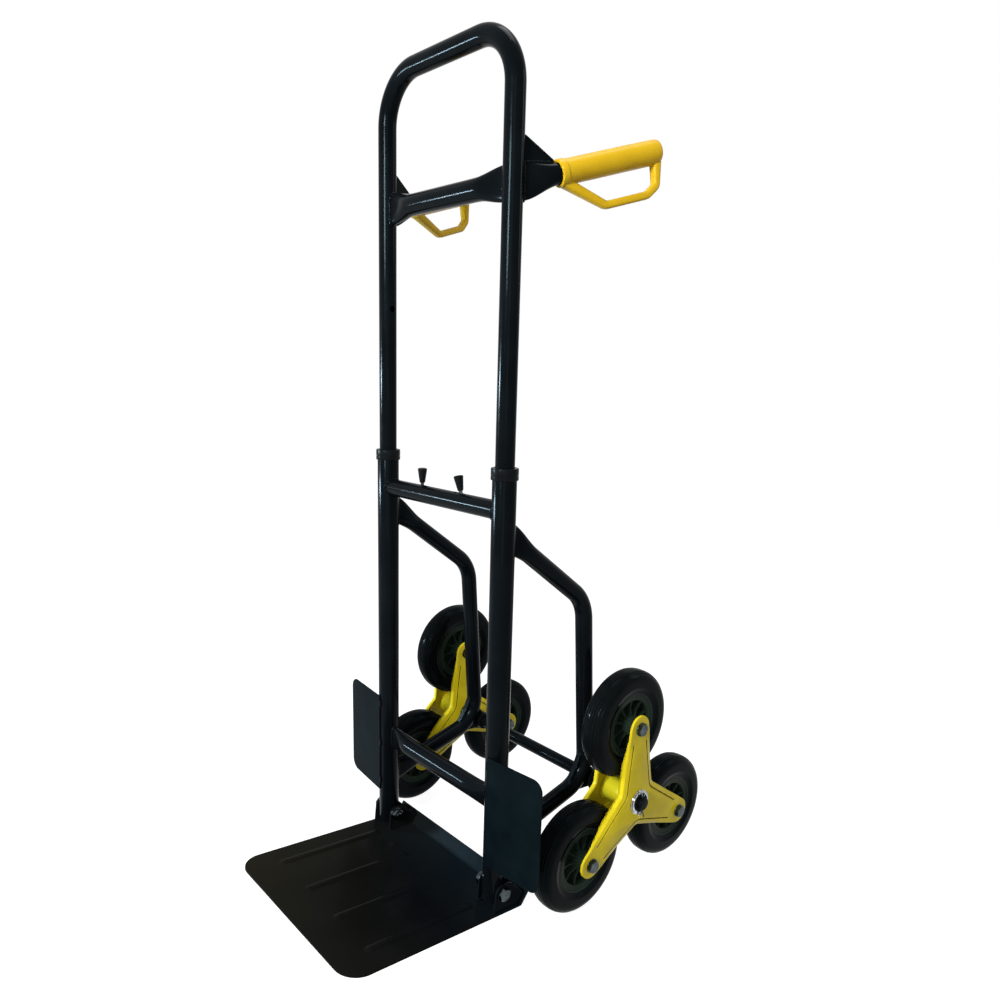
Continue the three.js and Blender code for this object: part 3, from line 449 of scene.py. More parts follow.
def hexagon(near, far):
    """A bolt head or nut along X, with its corners turned down at the far end."""
    flat, rings, sides = ACROSS_FLATS / 2, [[], [], []], 48
    for step in range(sides):
        angle = math.tau * step / sides
        radius = flat / math.cos((angle + math.pi / 6) % (math.pi / 3) - math.pi / 6)
        drop = math.copysign(0.35 + (radius - flat) * math.tan(math.radians(30)), far - near)
        y, z = math.cos(angle), math.sin(angle)
        rings[0].append((near, radius * y, radius * z))
        rings[1].append((far - drop, radius * y, radius * z))
        rings[2].append((far, (flat - 0.6) * y, (flat - 0.6) * z))
    return loft(rings)


def thread(base, length):
    """A bolt's threaded end, which points inwards from its base, with the crests and roots as rings."""
    crest, root, pitch = 5, 4.3, 1.5
    profile = [(0, 0)]
    turns = max(int(length / pitch), 1)
    for turn in range(turns):
        start = length * turn / turns
        profile += [(start, root), (start + pitch / 2, crest)]
    profile += [(length - 0.4, root), (length, crest - 1.2), (length, 0)]
    place = Matrix.Translation((base, 0, 0)) @ Matrix.Rotation(math.pi, 4, "Z")
    return moved(turned(profile, sides=32), place)


# ---- From a shape to a piece ----

def to_object(name, points, faces, crease=0):
    """A mesh object from points in metres, without doubled points and with its normals outwards."""
    mesh = bpy.data.meshes.new(name)
    mesh.from_pydata([tuple(point) for point in points], [], faces)
    work = bmesh.new()
    work.from_mesh(mesh)
    bmesh.ops.remove_doubles(work, verts=work.verts, dist=2e-6)
    bmesh.ops.dissolve_degenerate(work, dist=1e-6, edges=work.edges)
    bmesh.ops.recalc_face_normals(work, faces=work.faces)
    if crease:
        for face in work.faces:
            face.smooth = True
        for edge in work.edges:
            edge.smooth = edge.calc_face_angle(0) < math.radians(crease)
    work.to_mesh(mesh)
    work.free()
    made = bpy.data.objects.new(name, mesh)
    bpy.context.scene.collection.objects.link(made)
    return made


def build(name, shape, place, body, look, replaces=(), side=1, crease=38, bevel=0):
    """A piece from a shape that is drawn for the right side; side -1 mirrors it.

    Edges below the crease angle, in degrees, look smooth, and bevel is a width.
    """
    points = [place @ Vector(point) for point in shape[0]]
    if side < 0:
        points = [Vector((-point.x, point.y, point.z)) for point in points]
    made = to_object(name, points, shape[1], crease)
    made.data.materials.append(LOOKS[look])
    if bevel:
        edge = made.modifiers.new("edges", "BEVEL")
        edge.width, edge.segments, edge.limit_method = bevel * MM, 2, "ANGLE"
        edge.angle_limit, edge.harden_normals = math.radians(40), True
    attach(made, body)
    if replaces:
        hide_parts(*replaces)
    return made


def add_weld(name, bead, body, side=1):
    build(name, bead, FRAME, body, "black_paint", (), side)


def carve(made, cutters):
    """Cuts shapes, given in metres, out of a piece."""
    tools = [to_object("cutter", points, faces) for points, faces in cutters]
    for tool in tools:
        cutting = made.modifiers.new("cut", "BOOLEAN")
        cutting.object, cutting.operation, cutting.solver = tool, "DIFFERENCE", "EXACT"
    bpy.context.view_layer.update()
    done = bpy.data.meshes.new_from_object(made.evaluated_get(bpy.context.evaluated_depsgraph_get()))
    made.modifiers.clear()
    made.data = done
    for tool in tools:
        bpy.data.objects.remove(tool)


# ---- Frame ----

def add_uprights():
    place = FRAME @ Matrix.Translation((HALF, 0, 0))
    tube = turned(filleted([
        (UPRIGHT_LOW, UPRIGHT, 0.5), (UPRIGHT_TOP, UPRIGHT, 0.5),
        (UPRIGHT_TOP, UPRIGHT - WALL, 0.3), (UPRIGHT_LOW, UPRIGHT - WALL, 0.3)], 2), "Z")
    low, top, outer, groove, sleeve_long = 580, 595.5, 18, 17.6, 30
    bore, skirt, sleeve, stop = HANDLE + 0.5, UPRIGHT + 0.2, UPRIGHT - 1.8, UPRIGHT_TOP + 0.3
    collar = turned(filleted([
        (low, outer, 0.6), (low + 5.2, outer, 0.3), (low + 5.6, groove), (low + 6.2, groove),
        (low + 6.6, outer, 0.3), (top, outer, 1.3), (top, bore, 0.6), (top - sleeve_long, bore),
        (top - sleeve_long, sleeve), (stop, sleeve), (stop, skirt), (low, skirt)], 3), "Z")
    for name, side in SIDES.items():
        build(f"upright_tube_{name}", tube, place, "frame", "black_paint", [f"upright_{name}"], side)
        build(f"collar_ring_{name}", collar, place, "frame", "black_plastic", [f"collar_{name}"], side, 30)


def cross_tube(name, cad_node, body, height, sizes, section, post, seed):
    """A tube between two posts, with its two welds; sizes are its section's where it meets them."""
    inset = 4
    spots = [post - inset + run for run in (0, 3, 7, 11, 15, 19, 23, 27, 31, 36, 41, 46, 60, 90)]
    route = bend_route([(-HALF + inset, 0, height), (HALF - inset, 0, height)], extra=spots)
    shape = sweep(route, Y, section, WALL, posts=((-HALF, post - SINK), (HALF, post - SINK)))
    made = build(name, shape, FRAME, body, "black_paint", [cad_node], crease=50)
    for side_name, side in SIDES.items():
        path = joint_path((side * HALF, 0, height), Vector((-side, 0, 0)), Y, sizes, (side * HALF, post))
        add_weld(f"{name}_weld_{side_name}", weld(path, 2.3, seed + side), body)
    return made


def add_cross_tubes():
    upper = cross_tube("upper_tube", "upper_cross_tube", "frame", UPPER_UP, (UPPER, UPPER, 1),
                       round_section(UPPER), UPRIGHT, 10)
    slots = []
    for middle, length in ((-38, 18), (39.8, 21.6)):  # for the latch levers
        near, far, half, corner = middle - length / 2, middle + length / 2, 3, 2.9
        spots = ((near, -half), (far, -half), (far, half), (near, half))
        outline = filleted([(*spot, corner) for spot in spots])
        slots.append(moved(loft([[(x, y, UPPER_UP + up) for x, y in outline] for up in (5, 20)]), FRAME))
    carve(upper, slots)
    tall = 18
    cross_tube("lower_tube", "lower_cross_tube", "frame", LOWER_UP, pressed_end(tall),
               pressed_section(14, tall, hidden=12), UPRIGHT, 20)


def add_rear_tubes():
    tall = 18.5
    low = (183.5, 109)  # back and up of the bend beside the axle
    corners = [(HALF, 0, 512), (HALF, 161, 393), (HALF, *low), (HALF, 0, 63.5)]
    spots = [UPRIGHT + run for run in (-6, -2, 2, 6, 10, 14, 18, 22, 26, 30, 34, 38, 42, 46, 52, 70)]
    route = bend_route(corners, [60, 50], 18, spots)
    post = (HALF, UPRIGHT - SINK)
    tube = sweep(route, X, pressed_section(REAR, tall, UPRIGHT), WALL, posts=(post, post))
    # The sleeve that carries the axle, and the plate between it and the tube
    start, end, outer, inner = HALF - 14, INNER_FACE - 3.6, 14, 10
    sleeve = turned(filleted([
        (start, outer, 0.8), (end, outer, 0.8), (end, inner, 0.3), (start, inner, 0.3)], 3))
    back, up = AXLE
    plate = slab(filleted([
        (low[0] - 50, low[1] - REAR, 1), (back, up - 14, 5), (back + 13, up, 5), (back + 1, up + 14, 5),
        (low[0] - REAR, up + 56, 1), (low[0] - 25, up + 28)]), HALF - 4, HALF + 4)
    circle = [(HALF + 12.4, back + 14.2 * math.cos(a), up + 14.2 * math.sin(a))
              for a in [math.radians(100 + 8 * step) for step in range(20)]]
    ends = (("top", corners[0], corners[1]), ("foot", corners[3], corners[2]))
    for name, side in SIDES.items():
        build(f"rear_bow_{name}", tube, FRAME, "frame", "black_paint", [f"rear_tube_{name}"], side, 50)
        build(f"axle_sleeve_{name}", sleeve, AXLE_PLACE, "frame", "black_paint", (), side)
        build(f"axle_bracket_{name}", plate, FRAME, "frame", "black_paint", (), side, bevel=0.6)
        for part, corner, following in ends:
            along = (Vector(following) - Vector(corner)).normalized()
            path = joint_path(corner, along, X, pressed_end(tall), (HALF, UPRIGHT))
            add_weld(f"rear_bow_weld_{part}_{name}", weld(path, 2.2, 30 + side), "frame", side)
        add_weld(f"axle_sleeve_weld_{name}", weld(circle, 2.4, 50 + side, False, toward=X), "frame", side)


def add_wings():
    near, far, low, high, corner, front, rear = -2, 95, 41, 203.5, 16, -18.2, -16.2
    outline = filleted([(near, low, 1), (far, low, corner), (far, high, corner), (near, high, 1)], 10)
    turn = Matrix.Translation((HALF, 0, 0)) @ Matrix.Rotation(math.radians(5.8), 4, "Z")
    points, faces = slab(outline, front, rear)
    plate = moved(([(y, x, z) for x, y, z in points], faces), turn)
    for name, side in SIDES.items():
        build(f"wing_plate_{name}", plate, FRAME, "frame", "wing_paint", [f"side_wing_{name}"], side,
              bevel=0.5)
        for index, (start, end) in enumerate(((52, 64), (116, 130), (184, 197))):
            for spot, x, y in (("front", -2.6, -17.0), ("back", 5.8, -15.4)):
                path = [turn @ Vector((x, y, start + (end - start) * step / 12)) for step in range(13)]
                bead = weld(path, 1.5, 60 + index, False, toward=-Y)
                add_weld(f"wing_weld_{spot}_{index + 1}_{name}", bead, "frame", side)


def add_axle():
    end, radius = AXLE_END - 0.2, 9.5
    shaft = turned(filleted([(-end, 0), (-end, radius, 1.4), (end, radius, 1.4), (end, 0)], 4))
    build("axle_shaft", shaft, AXLE_PLACE, "frame", "black_paint", ["axle"])

    def washer(low, high, outer, inner=9.8):
        profile = [(low, outer, 0.5), (high, outer, 0.5), (high, inner, 0.3), (low, inner, 0.3)]
        return turned(filleted(profile, 3))

    inner = washer(INNER_FACE - 3.3, INNER_FACE - 0.3, 18.5)
    outer = together(washer(OUTER_FACE + 0.3, OUTER_FACE + 2.2, 18.5),
                     washer(OUTER_FACE + 2.3, OUTER_FACE + 4.3, 17.4))
    ring = washer(OUTER_FACE + 4.4, OUTER_FACE + 6, 13.4, 9.6)
    # The cotter pin: two legs below, splayed at their ends, and an eye above
    wire, eye = 0.95, 3.1
    parts = []
    for leg in (-1, 1):
        splay = [(0, leg * 0.8, 10.4), (0, leg * 0.8, -11.5), (leg * 0.6, leg * 1.8, -15.5),
                 (leg * 0.9, leg * 4.2, -21 - leg * 1.6)]
        parts.append(sweep(bend_route(splay, [4, 5], 6), X, round_section(wire), sides=14))
    loop = [Vector((0, eye * math.sin(a), 13.4 - eye * math.cos(a)))
            for a in [math.tau * step / 28 for step in range(29)]]
    parts.append(sweep(loop, X, round_section(wire), sides=14))
    pin_place = AXLE_PLACE @ Matrix.Translation((OUTER_FACE + 7.6, 0, 0))
    for name, side in SIDES.items():
        build(f"washer_inner_{name}", inner, AXLE_PLACE, "frame", "zinc", [f"axle_washer_inner_{name}"],
              side)
        build(f"washer_outer_{name}", outer, AXLE_PLACE, "frame", "chrome", [f"axle_washer_outer_{name}"],
              side)
        build(f"axle_ring_{name}", ring, AXLE_PLACE, "frame", "black_steel", (), side)
        build(f"split_pin_{name}", together(*parts), pin_place, "frame", "zinc", [f"cotter_pin_{name}"], side)


# ---- Wheel clusters ----

def star_outline():
    """The star's outline with, at each point, how much of its edge is folded and how deep the fold is."""
    lobe, notch, fillet, spacing = 19.5, 39, 12, 3
    between = math.tau / 6
    reach = Vector((notch * math.cos(between) - ARM, notch * math.sin(between)))
    lobe_turn = math.atan2(reach.y, reach.x) - math.acos(lobe / reach.length)
    corners = []
    for arm in ARMS:
        for step in range(17):
            angle = arm + lobe_turn * (step / 8 - 1)
            corners.append((ARM * math.cos(arm) + lobe * math.cos(angle),
                            ARM * math.sin(arm) + lobe * math.sin(angle)))
        corners.append((notch * math.cos(arm + between), notch * math.sin(arm + between), fillet))
    coarse = [Vector(point) for point in filleted(corners, 12)]
    points = []
    for here, there in zip(coarse, coarse[1:] + coarse[:1]):
        steps = max(round((there - here).length / spacing), 1)
        points += [here.lerp(there, step / steps) for step in range(steps)]
    bolts = [Vector((math.cos(arm), math.sin(arm))) * ARM for arm in ARMS]
    away = [min((point - bolt).length for bolt in bolts) for point in points]
    return points, [(smooth((far - 22) / 11), 0.3 + 0.7 * smooth((far - 24) / 40)) for far in away]


def inward_normals(points):
    normals = []
    for index, point in enumerate(points):
        along = (points[(index + 1) % len(points)] - points[index - 1]).normalized()
        normals.append(Vector((-along.y, along.x)))
    return normals


def star(face, inward):
    """A pressed star: its face at one distance along X, its arms' edges folded towards its partner."""
    points, folds = star_outline()
    normals = inward_normals(points)
    sheet = 2.7
    # Distance in from the edge and share of the depth, on an arm's folded edge and on a lobe's plain one
    fold = [(10.4, 0), (9.8, 0.02), (9.5, GROOVE), (7.5, GROOVE), (7.2, 0.04), (1.7, 0.25), (0.8, 0.32),
            (0.2, 0.46), (0, 0.7), (0, 1)]
    plain = [(10, 0), (8, 0), (6, 0), (4.5, 0), (3, 0), (2.2, 0), (1.4, 0), (0.7, 0.008), (0.2, 0.035),
             (0, 0.09)]
    steps = list(zip(fold, plain))
    rings = []
    for shift, order in ((0, steps), (sheet, steps[::-1])):
        for folded, flat in order:
            ring = []
            for point, normal, (share, deep) in zip(points, normals, folds):
                inset = flat[0] + (folded[0] - flat[0]) * share
                drop = flat[1] + (folded[1] * deep - flat[1]) * share
                ring.append((face + inward * (shift + FOLD_DEPTH * drop), *(point + normal * inset)))
            rings.append(ring)
    return loft(rings)


def crease_shade_line(face, inward):
    """A dark line of painted shade in the groove along each arm's fold, hidden in the sheet round the lobes.
    """
    points, folds = star_outline()
    near, far, thick, sunk, proud = 7.65, 9.35, 0.6, 1.0, 0.25
    rings = []
    for inset, below in ((near, 0), (far, 0), (far, thick), (near, thick)):
        ring = []
        for point, normal, (share, deep) in zip(points, inward_normals(points), folds):
            top = sunk - (sunk + proud) * share + FOLD_DEPTH * GROOVE * deep * share
            ring.append((face + inward * (top + below), *(point + normal * inset)))
        rings.append(ring)
    return loft(rings, looped=True)


def tyre():
    half, shoulder, power, steps, groove_half = 18, 62, 2.7, 96, 1.1
    grooves = [(0, 1.5), (4.6, 1.5), (9.2, 1.5), (13.2, 1.3)]
    grooves += [(-centre, depth) for centre, depth in grooves[1:]]
    tread = []
    for step in range(steps + 1):
        x = (half - 0.1) * math.sin(math.pi * (step / steps - 0.5))
        radius = shoulder + (TYRE - shoulder) * (1 - abs(x / half) ** power) ** (1 / power)
        radius -= sum(depth * max(1 - ((x - centre) / groove_half) ** 2, 0) for centre, depth in grooves)
        tread.append((x, radius))
    right = filleted([
        (18, 61.5), (18.2, 57, 3), (16.9, 52.6, 1), (16.2, 52.2, 0.6), (15.6, 48.6, 1), (14.5, 46)], 3)
    left = [(-x, radius) for x, radius in reversed(right)]
    return turned(tread + right[1:] + left[:-1], sides=96)


def rim():
    half = [(13, 45.7), (13.4, 47.6, 0.4), (15.3, 47.6, 0.8), (15.3, 45.2, 0.7), (13.9, 44.2, 0.6),
            (13.4, 37, 1.2), (3.2, 35.4, 1.5), (2.2, 33, 1)]
    ring = turned(filleted(half + [(-x, *rest) for x, *rest in reversed(half)], 3), sides=72)
    web = turned([(-2.2, 34.5), (2.2, 34.5), (2.2, 13), (-2.2, 13)], sides=48)
    end, bore = 26.8, 5.4
    hub = turned(filleted([
        (-end, 14.2, 0.8), (-end + 3, 15, 1), (-6, 15.4, 2), (6, 15.4, 2), (end - 3, 15, 1), (end, 14.2, 0.8),
        (end, bore), (-end, bore)], 3), sides=44)
    sections = []
    for up, wide, thick in ((13.5, 12.5, 1.8), (25, 9.6, 1.3), (36.6, 11.6, 1.6)):
        corners = [(-wide, -thick), (wide, -thick), (wide, thick), (-wide, thick)]
        sections.append([(x, y, up) for x, y in filleted([(*corner, thick * 0.6) for corner in corners], 2)])
    count = 10
    fins = [moved(loft(sections), Matrix.Rotation(math.tau * (step + 0.3) / count, 4, "X"))
            for step in range(count)]
    return together(ring, web, hub, *fins)


def add_clusters():
    outer, inner = star(OUTER_FACE, -1), star(INNER_FACE, 1)
    # Dark lines of painted shade in the folds' grooves
    crease_shade = together(crease_shade_line(OUTER_FACE, -1), crease_shade_line(INNER_FACE, 1))
    radius, bore, start, end = 17, 10.2, INNER_FACE + 2.6, OUTER_FACE - 2.6
    hub = turned(filleted([(start, radius), (end, radius), (end, bore), (start, bore)]), sides=64)
    seams = []
    for x in (start + 1, end - 1):
        circle = [(x, radius * math.cos(math.tau * step / 60), radius * math.sin(math.tau * step / 60))
                  for step in range(60)]
        seams.append(weld(circle, 2.2, 70))
    bolt = together(
        disc(OUTER_FACE + 0.2, OUTER_FACE + 1.7, 10.2, (0.5, 0.6)),
        hexagon(OUTER_FACE + 1.6, OUTER_FACE + 6.7),
        rod(INNER_FACE + 1, OUTER_FACE, 4.9),
        hexagon(INNER_FACE - 1.3, INNER_FACE - 7.6),
        disc(INNER_FACE - 1.4, INNER_FACE - 0.3, 10, (0.5, 0.5)),
        thread(INNER_FACE - 7.4, 2.2),
    )
    skin, wheel = tyre(), rim()
    for name, side in SIDES.items():
        body = f"cluster_{name}"
        for part, plate in (("outer", outer), ("inner", inner)):
            build(f"star_plate_{part}_{name}", plate, CLUSTER, body, "yellow_paint", [f"star_{part}_{name}"],
                  side, 28)
        # The painted shade in the folds' grooves
        build(f"fold_crease_shade_{name}", crease_shade, CLUSTER, body, "crease_shade", (), side)
        build(f"hub_tube_{name}", hub, CLUSTER, body, "hub_paint", (), side)
        build(f"hub_welds_{name}", together(*seams), CLUSTER, body, "yellow_paint", (), side)
        for index, arm in enumerate(ARMS, 1):
            end = f"{name}_{index}"
            turn = at_arm(arm) @ Matrix.Rotation(math.radians(17 * index + 5 * side), 4, "X")
            middle = turn @ Matrix.Translation((MIDDLE, 0, 0))
            build(f"arm_bolt_{end}", bolt, turn, body, "zinc", [f"wheel_bolt_{end}"], side, 30)
            build(f"tyre_skin_{end}", skin, middle, f"wheel_{end}", "tyre_rubber", [f"tyre_{end}"], side)
            build(f"rim_form_{end}", wheel, middle, f"wheel_{end}", "rim_plastic", [f"rim_{end}"], side)


# ---- Sliding handle ----

def add_handle():
    corners = [(-HALF, 0, HANDLE_LOW), (-HALF, 0, HANDLE_TOP), (HALF, 0, HANDLE_TOP), (HALF, 0, HANDLE_LOW)]
    tube = sweep(bend_route(corners, [HANDLE_BEND, HANDLE_BEND], 22), Y, round_section(HANDLE), WALL)
    loop = build("handle_tube", tube, FRAME, "handle", "black_paint", ["handle_loop"], crease=50)
    holes = []
    for side in SIDES.values():
        for height in (UPPER_UP, UPPER_UP + HANDLE_TRAVEL):
            ends = sorted((side * (HALF - 6), side * (HALF - 18)))
            holes.append(moved(rod(*ends, 4.5, 28), FRAME @ Matrix.Translation((0, 0, height))))
    carve(loop, holes)
    tall = 21
    cross_tube("brace_tube", "handle_brace", "handle", BRACE_UP, pressed_end(tall),
               pressed_section(14, tall, hidden=8.7, length=52), HANDLE, 80)


def guard_section(start, end):
    thicker = smooth(1 - min(start, end) / 16)
    return 6 + 1.6 * thicker, 5 + 1.2 * thicker, 0.62


def add_side_handles():
    rise = math.radians(16.6)
    turn = (Matrix.Translation((HALF, 0, 930.7)) @ Matrix.Rotation(math.radians(-17.5), 4, "Z")
            @ Matrix.Rotation(rise, 4, "X"))
    along, across, origin = turn.to_3x3() @ Y, turn.to_3x3() @ X, turn.translation
    runs = [0, 4, 8, 12, 15, 18, 22, 26, 30, 34, 38, 42, 46, 50, 54, 59, 80, 150]
    radius, tall, post = 12.7, 21, (HALF, HANDLE - SINK)
    section = pressed_section(radius, tall, HANDLE, both=False)
    arm = sweep([origin + along * run for run in runs], across, section, WALL, posts=(post, None))
    path = joint_path(origin, along, across, pressed_end(tall), (HALF, HANDLE))
    # The gusset, with its upper corner beside the post, and its two welds
    back, up = 56 * math.sin(rise), 56 - HANDLE / 2
    gusset = moved(slab(filleted([
        (9, 8), (59, 8), (59, 16, 3), (back + HANDLE, up, 6), (back + 3, up, 1), (9, 21)], 5), -2, 2), turn)
    seams = {
        "post": [turn @ Vector((0, y, z)) for y, z in ((back + 12.2, up - 2), (14.4, 12))],
        "arm": [turn @ Vector((2.6, y, 20.5 - (y - 16) * 0.19)) for y in (18, 26, 34, 44, 54)]}
    # The grip's sleeve, closed past the arm's end, and its finger guard
    radius, bore, near, far, arm_end = 15, 13, 61, 208, 150.3
    sleeve = turned(filleted([
        (near, 16.2, 1.2), (near + 8.4, 16.3, 1.0), (near + 9.2, radius + 0.1, 0.8), (far - 14, radius, 2),
        (far, radius - 0.3, 5), (far, 0), (arm_end, 0), (arm_end, bore), (near, bore, 0.5)], 5), "Y", 64)
    guard_corners = [(0, 68, -11.5), (0, 118.5, -47.3), (0, 180.5, -47.3), (0, 196.3, -39), (0, 202, -11.5)]
    guard = sweep(bend_route(guard_corners, [14, 12, 9], 9), X, guard_section, sides=36)
    for name, side in SIDES.items():
        build(f"side_arm_{name}", arm, FRAME, "handle", "black_paint", [f"handle_arm_{name}"], side, 50)
        add_weld(f"side_arm_weld_{name}", weld(path, 2.2, 90 + side), "handle", side)
        build(f"gusset_plate_{name}", gusset, FRAME, "handle", "black_paint", [f"gusset_{name}"], side,
              bevel=0.6)
        for part, line in seams.items():
            fine = [a.lerp(b, step / 8) for a, b in zip(line, line[1:]) for step in range(8)] + [line[-1]]
            bead = weld(fine, 2.0, 96 + side, False, toward=across)
            add_weld(f"gusset_weld_{part}_{name}", bead, "handle", side)
        build(f"grip_sleeve_{name}", together(sleeve, guard), FRAME @ turn, "handle", "yellow_plastic",
              [f"grip_{name}"], side)


def add_latches():
    foot, bore, out = 16.2, 2.8, 44
    top = foot + 21
    knob = turned(filleted([
        (foot, 3.4, 0.5), (foot + 1.2, 4.1, 0.4), (foot + 19.2, 6.75, 0.5), (foot + 20.4, 6.4, 0.8),
        (top, 4.5, 1), (top, 0), (foot + 12, 0), (foot + 12, bore), (foot, bore)], 3), "Z", 40)
    for name, lean in (("left", 0), ("right", math.radians(16))):
        place = (FRAME @ Matrix.Translation((out + math.tan(lean) * UPPER, 0, UPPER_UP))
                 @ Matrix.Rotation(-lean, 4, "Y"))
        build(f"latch_lever_{name}", knob, place, f"latch_{name}", "black_plastic", [f"latch_knob_{name}"],
              SIDES[name])


# ---- Toe plate ----

def add_toe_plate():
    flange = Vector((math.sin(TOE_TILT), math.cos(TOE_TILT)))
    turn = math.pi / 2 - TOE_TILT
    radius, corner = 3.5, 32
    run = radius * math.tan(turn / 2)
    # Rows from front to rear, closer together at the corners and the ribs' ends, then the bend and the flange
    rows = [-TOE_FRONT + distance for distance in (0, 0.5, 1.5, 3, 5, 8, 12, 16, 20, 24, 28, 32, 38)]
    rows += [-205 + 1.5 * step for step in range(12)] + [-183 + 9 * step for step in range(16)]
    rows += [-45 + 2 * step for step in range(12)] + [-16, -6, 6, 18]
    path = [(y, TOE_THICK, (0, 1)) for y in rows]
    for step in range(9):
        angle = turn * step / 8
        path.append((TOE_BEND - run + radius * math.sin(angle), TOE_THICK + radius * (1 - math.cos(angle)),
                     (-math.sin(angle), math.cos(angle))))
    for length in (6, 14, 22):
        path.append((TOE_BEND + flange.x * length, TOE_THICK + flange.y * length, (-flange.y, flange.x)))
    ribs, rib_front, rib_rear = (-117.3, -39.1, 39.1, 117.3), -194.5, -33.5
    columns = {TOE_HALF * sign * (1 - step / 40) for step in range(0, 41, 4) for sign in (-1, 1)}
    columns |= {rib + offset for rib in ribs for offset in [0.9 * step - 9.9 for step in range(23)]}
    columns = sorted(columns)

    def lift(x, y):
        """The sheet's unevenness, and its ribs."""
        height = 0.16 * noise.noise(Vector((x * 0.011, y * 0.011, 3.7)))
        along = min(max(y, rib_front), rib_rear)
        return height + sum(2 * smooth((7.8 - math.hypot(x - rib, y - along)) / 6) for rib in ribs)

    rings = []
    for y, z, normal in path:
        ahead = y + TOE_FRONT
        cut = corner - math.sqrt(corner ** 2 - (corner - ahead) ** 2) if ahead < corner else 0
        upper, lower = [], []
        for column in columns:
            x = column * (TOE_HALF - cut) / TOE_HALF
            height = lift(x, y) if z < TOE_THICK + 0.01 else 0
            under = max(height, 0) - TOE_THICK
            upper.append((x, y + normal[0] * height, z + normal[1] * height))
            lower.append((x, y + normal[0] * under, z + normal[1] * under))
        rings.append([*upper, *reversed(lower)])
    build("toe_sheet", loft(rings), TRUCK, "toe_plate", "plate_paint", ["toe_plate"], crease=34)

    back = Vector((36, 0)) + flange * 25 * 0.7
    # An ear outside each upright and a lug inside it; the gap is between the sheet and its welds
    foot, gap = 1.4, 0.4
    for part, front, top, low, high, spot in (
            ("ear", 13, 13, 149, 151.5, 149 - gap), ("lug", 10, 12, 110.5, 113, 113 + gap)):
        outline = filleted([(-front, foot, 1.5), (36, foot), (back.x, back.y, 1), (top, PIVOT_UP + top, top),
                            (-top, PIVOT_UP + top, top)], 8)
        lines = {"back": [(spot, 34.5 + flange.x * s, 5 + flange.y * s) for s in range(2, 15)],
                 "floor": [(spot, y, 3.2) for y in range(-11, 14)]}
        for name, side in SIDES.items():
            build(f"toe_{part}_{name}", slab(outline, low, high), TRUCK, "toe_plate", "plate_paint", (), side,
                  bevel=0.5)
            for where, line in lines.items():
                bead = weld(line, 1.6, 120 + len(where), False, toward=Z)
                build(f"toe_{part}_weld_{where}_{name}", bead, TRUCK, "toe_plate", "plate_paint", (), side)


def add_hinge():
    head, nut_end = 151.7, 110.2
    bolt = together(
        hexagon(head + 1.3, head + 6.5),
        rod(nut_end - 4, head + 1, 4.95),
        thread(nut_end - 4, 5),
    )
    washer = disc(head, head + 1.4, 10.6, (0.4, 0.5), 5.1)
    nut = together(hexagon(nut_end - 1.2, nut_end - 7.8), disc(nut_end - 1.3, nut_end, 10.4, (0.4, 0.4)))
    turn = FRAME @ Matrix.Rotation(math.radians(11), 4, "X")
    for name, side in SIDES.items():
        build(f"hinge_bolt_{name}", bolt, turn, "frame", "zinc", [f"toe_pivot_bolt_{name}"], side, 30)
        build(f"hinge_washer_{name}", washer, turn, "frame", "black_steel", (), side, 30)
        build(f"hinge_nut_{name}", nut, turn, "frame", "zinc", [f"toe_pivot_nut_{name}"], side, 30)


def dress_kept():
    """Gives the CAD nodes that stay in the scene their finishes."""
    kept = {"latch_bush": "black_plastic", "latch_pin": "zinc", "toe_pivot_spacer": "black_paint"}
    for start, look in kept.items():
        for name in SIDES:
            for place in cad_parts[f"{start}_{name}"].material_slots:
                place.material = LOOKS[look]


# ---- Floor, light and camera ----

def add_floor():
    """A floor that is lit as a mid grey, so that shadows stay faint, and is seen as near white."""
    reach, thick = 9, 0.02  # in metres
    corners = ((-reach, -reach), (reach, -reach), (reach, reach), (-reach, reach))
    floor = to_object("floor", *loft([[(x, y, up) for x, y in corners] for up in (-thick, 0)]))
    made = bpy.data.materials.new("floor")
    made.use_nodes = True
    tree = made.node_tree
    shader = tree.nodes["Principled BSDF"]
    shader.inputs["Base Color"].default_value = rgba((0.25, 0.25, 0.25))
    shader.inputs["Roughness"].default_value = 0.9
    shader.inputs["Specular IOR Level"].default_value = 0.1
    shader.inputs["Emission Color"].default_value = rgba((1, 1, 1))
    tree.links.new(seen(tree, 0.9), shader.inputs["Emission Strength"])
    floor.data.materials.append(made)


def seen(tree, strength):
    """The strength for what the camera, a reflection or a clear surface sees, and nothing for the rest."""
    path = node(tree, "ShaderNodeLightPath")
    total = path.outputs["Is Camera Ray"]
    for ray in ("Is Glossy Ray", "Is Transmission Ray"):
        total = node(tree, "ShaderNodeMath", {0: total, 1: path.outputs[ray]}, operation="MAXIMUM").outputs[0]
    return node(tree, "ShaderNodeMath", {0: total, 1: strength}, operation="MULTIPLY").outputs[0]


def add_world():
    """White where it is seen, and weaker as a light."""
    lit = 0.45
    world = bpy.data.worlds.new("studio")
    bpy.context.scene.world = world
    world.use_nodes = True
    tree = world.node_tree
    back = tree.nodes["Background"]
    back.inputs["Color"].default_value = rgba((1, 1, 1))
    total = node(tree, "ShaderNodeMath", {0: seen(tree, 1 - lit), 1: lit}, operation="ADD").outputs[0]
    tree.links.new(total, back.inputs["Strength"])


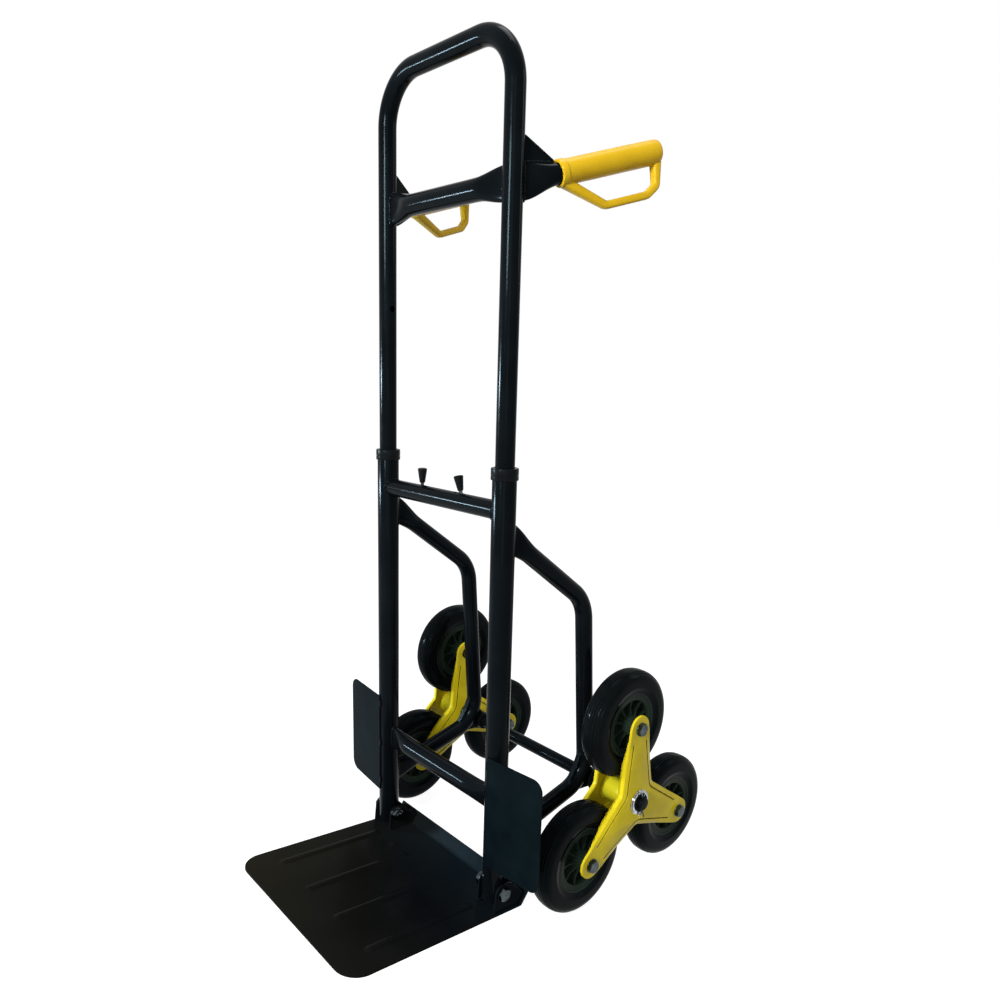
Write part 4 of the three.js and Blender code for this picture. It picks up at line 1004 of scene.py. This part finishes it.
def add_lamp(name, place, aim, size, power, colour=(1, 1, 1)):
    """An area lamp; lengths are in metres and the power in watts."""
    lamp = bpy.data.lights.new(name, "AREA")
    lamp.shape, lamp.size, lamp.size_y = "RECTANGLE", *size
    lamp.energy, lamp.color = power, colour
    made = bpy.data.objects.new(name, lamp)
    made.location = place
    made.rotation_euler = (Vector(aim) - Vector(place)).to_track_quat("-Z", "Y").to_euler()
    bpy.context.scene.collection.objects.link(made)


def add_camera():
    """The photograph's view: its place, its angles, and its focal length and centre in pixels."""
    place = Vector((0.86976, -0.73824, 0.67925))
    yaw, pitch, roll = 0.8349, 0.1434, -0.0973
    focal, centre_x, centre_y, picture = 794.16, 491.16, 535.77, 1000
    forward = Vector((-math.sin(yaw) * math.cos(pitch), math.cos(yaw) * math.cos(pitch), -math.sin(pitch)))
    right = Vector((math.cos(yaw), math.sin(yaw), 0))
    down = forward.cross(right)
    across = right * math.cos(roll) + down * math.sin(roll)
    below = down * math.cos(roll) - right * math.sin(roll)
    camera = bpy.data.cameras.new("camera")
    camera.sensor_width = 36
    camera.lens = focal / picture * camera.sensor_width
    camera.shift_x, camera.shift_y = 0.5 - centre_x / picture, centre_y / picture - 0.5
    camera.clip_start, camera.clip_end = 0.02, 60
    made = bpy.data.objects.new("camera", camera)
    made.matrix_world = Matrix((
        (across.x, -below.x, -forward.x, place.x),
        (across.y, -below.y, -forward.y, place.y),
        (across.z, -below.z, -forward.z, place.z),
        (0, 0, 0, 1),
    ))
    bpy.context.scene.collection.objects.link(made)
    bpy.context.scene.camera = made


add_uprights()
add_cross_tubes()
add_rear_tubes()
add_wings()
add_axle()
add_clusters()
add_handle()
add_side_handles()
add_latches()
add_toe_plate()
add_hinge()
dress_kept()
add_floor()
add_world()
add_lamp("key", (0.5, -1.95, 1.12), (0.15, 0.1, 0.25), (0.45, 0.45), 66, (0.97, 0.99, 1))
add_lamp("side", (-1.58, -1.6, 0.54), (0, 0, 0.35), (0.52, 0.11), 54, (0.72, 0.88, 1))
add_lamp("fill", (1.9, -1.9, 1.1), (0, 0, 0.5), (0.9, 1.6), 9)
add_lamp("rear", (1.4, 1.8, 1.9), (0, 0.1, 0.5), (0.4, 1.2), 9)
add_lamp("top", (0, 0.1, 2.9), (0, 0.1, 0), (1.0, 1.0), 18)
add_camera()
bpy.context.scene.view_settings.view_transform = "Standard"
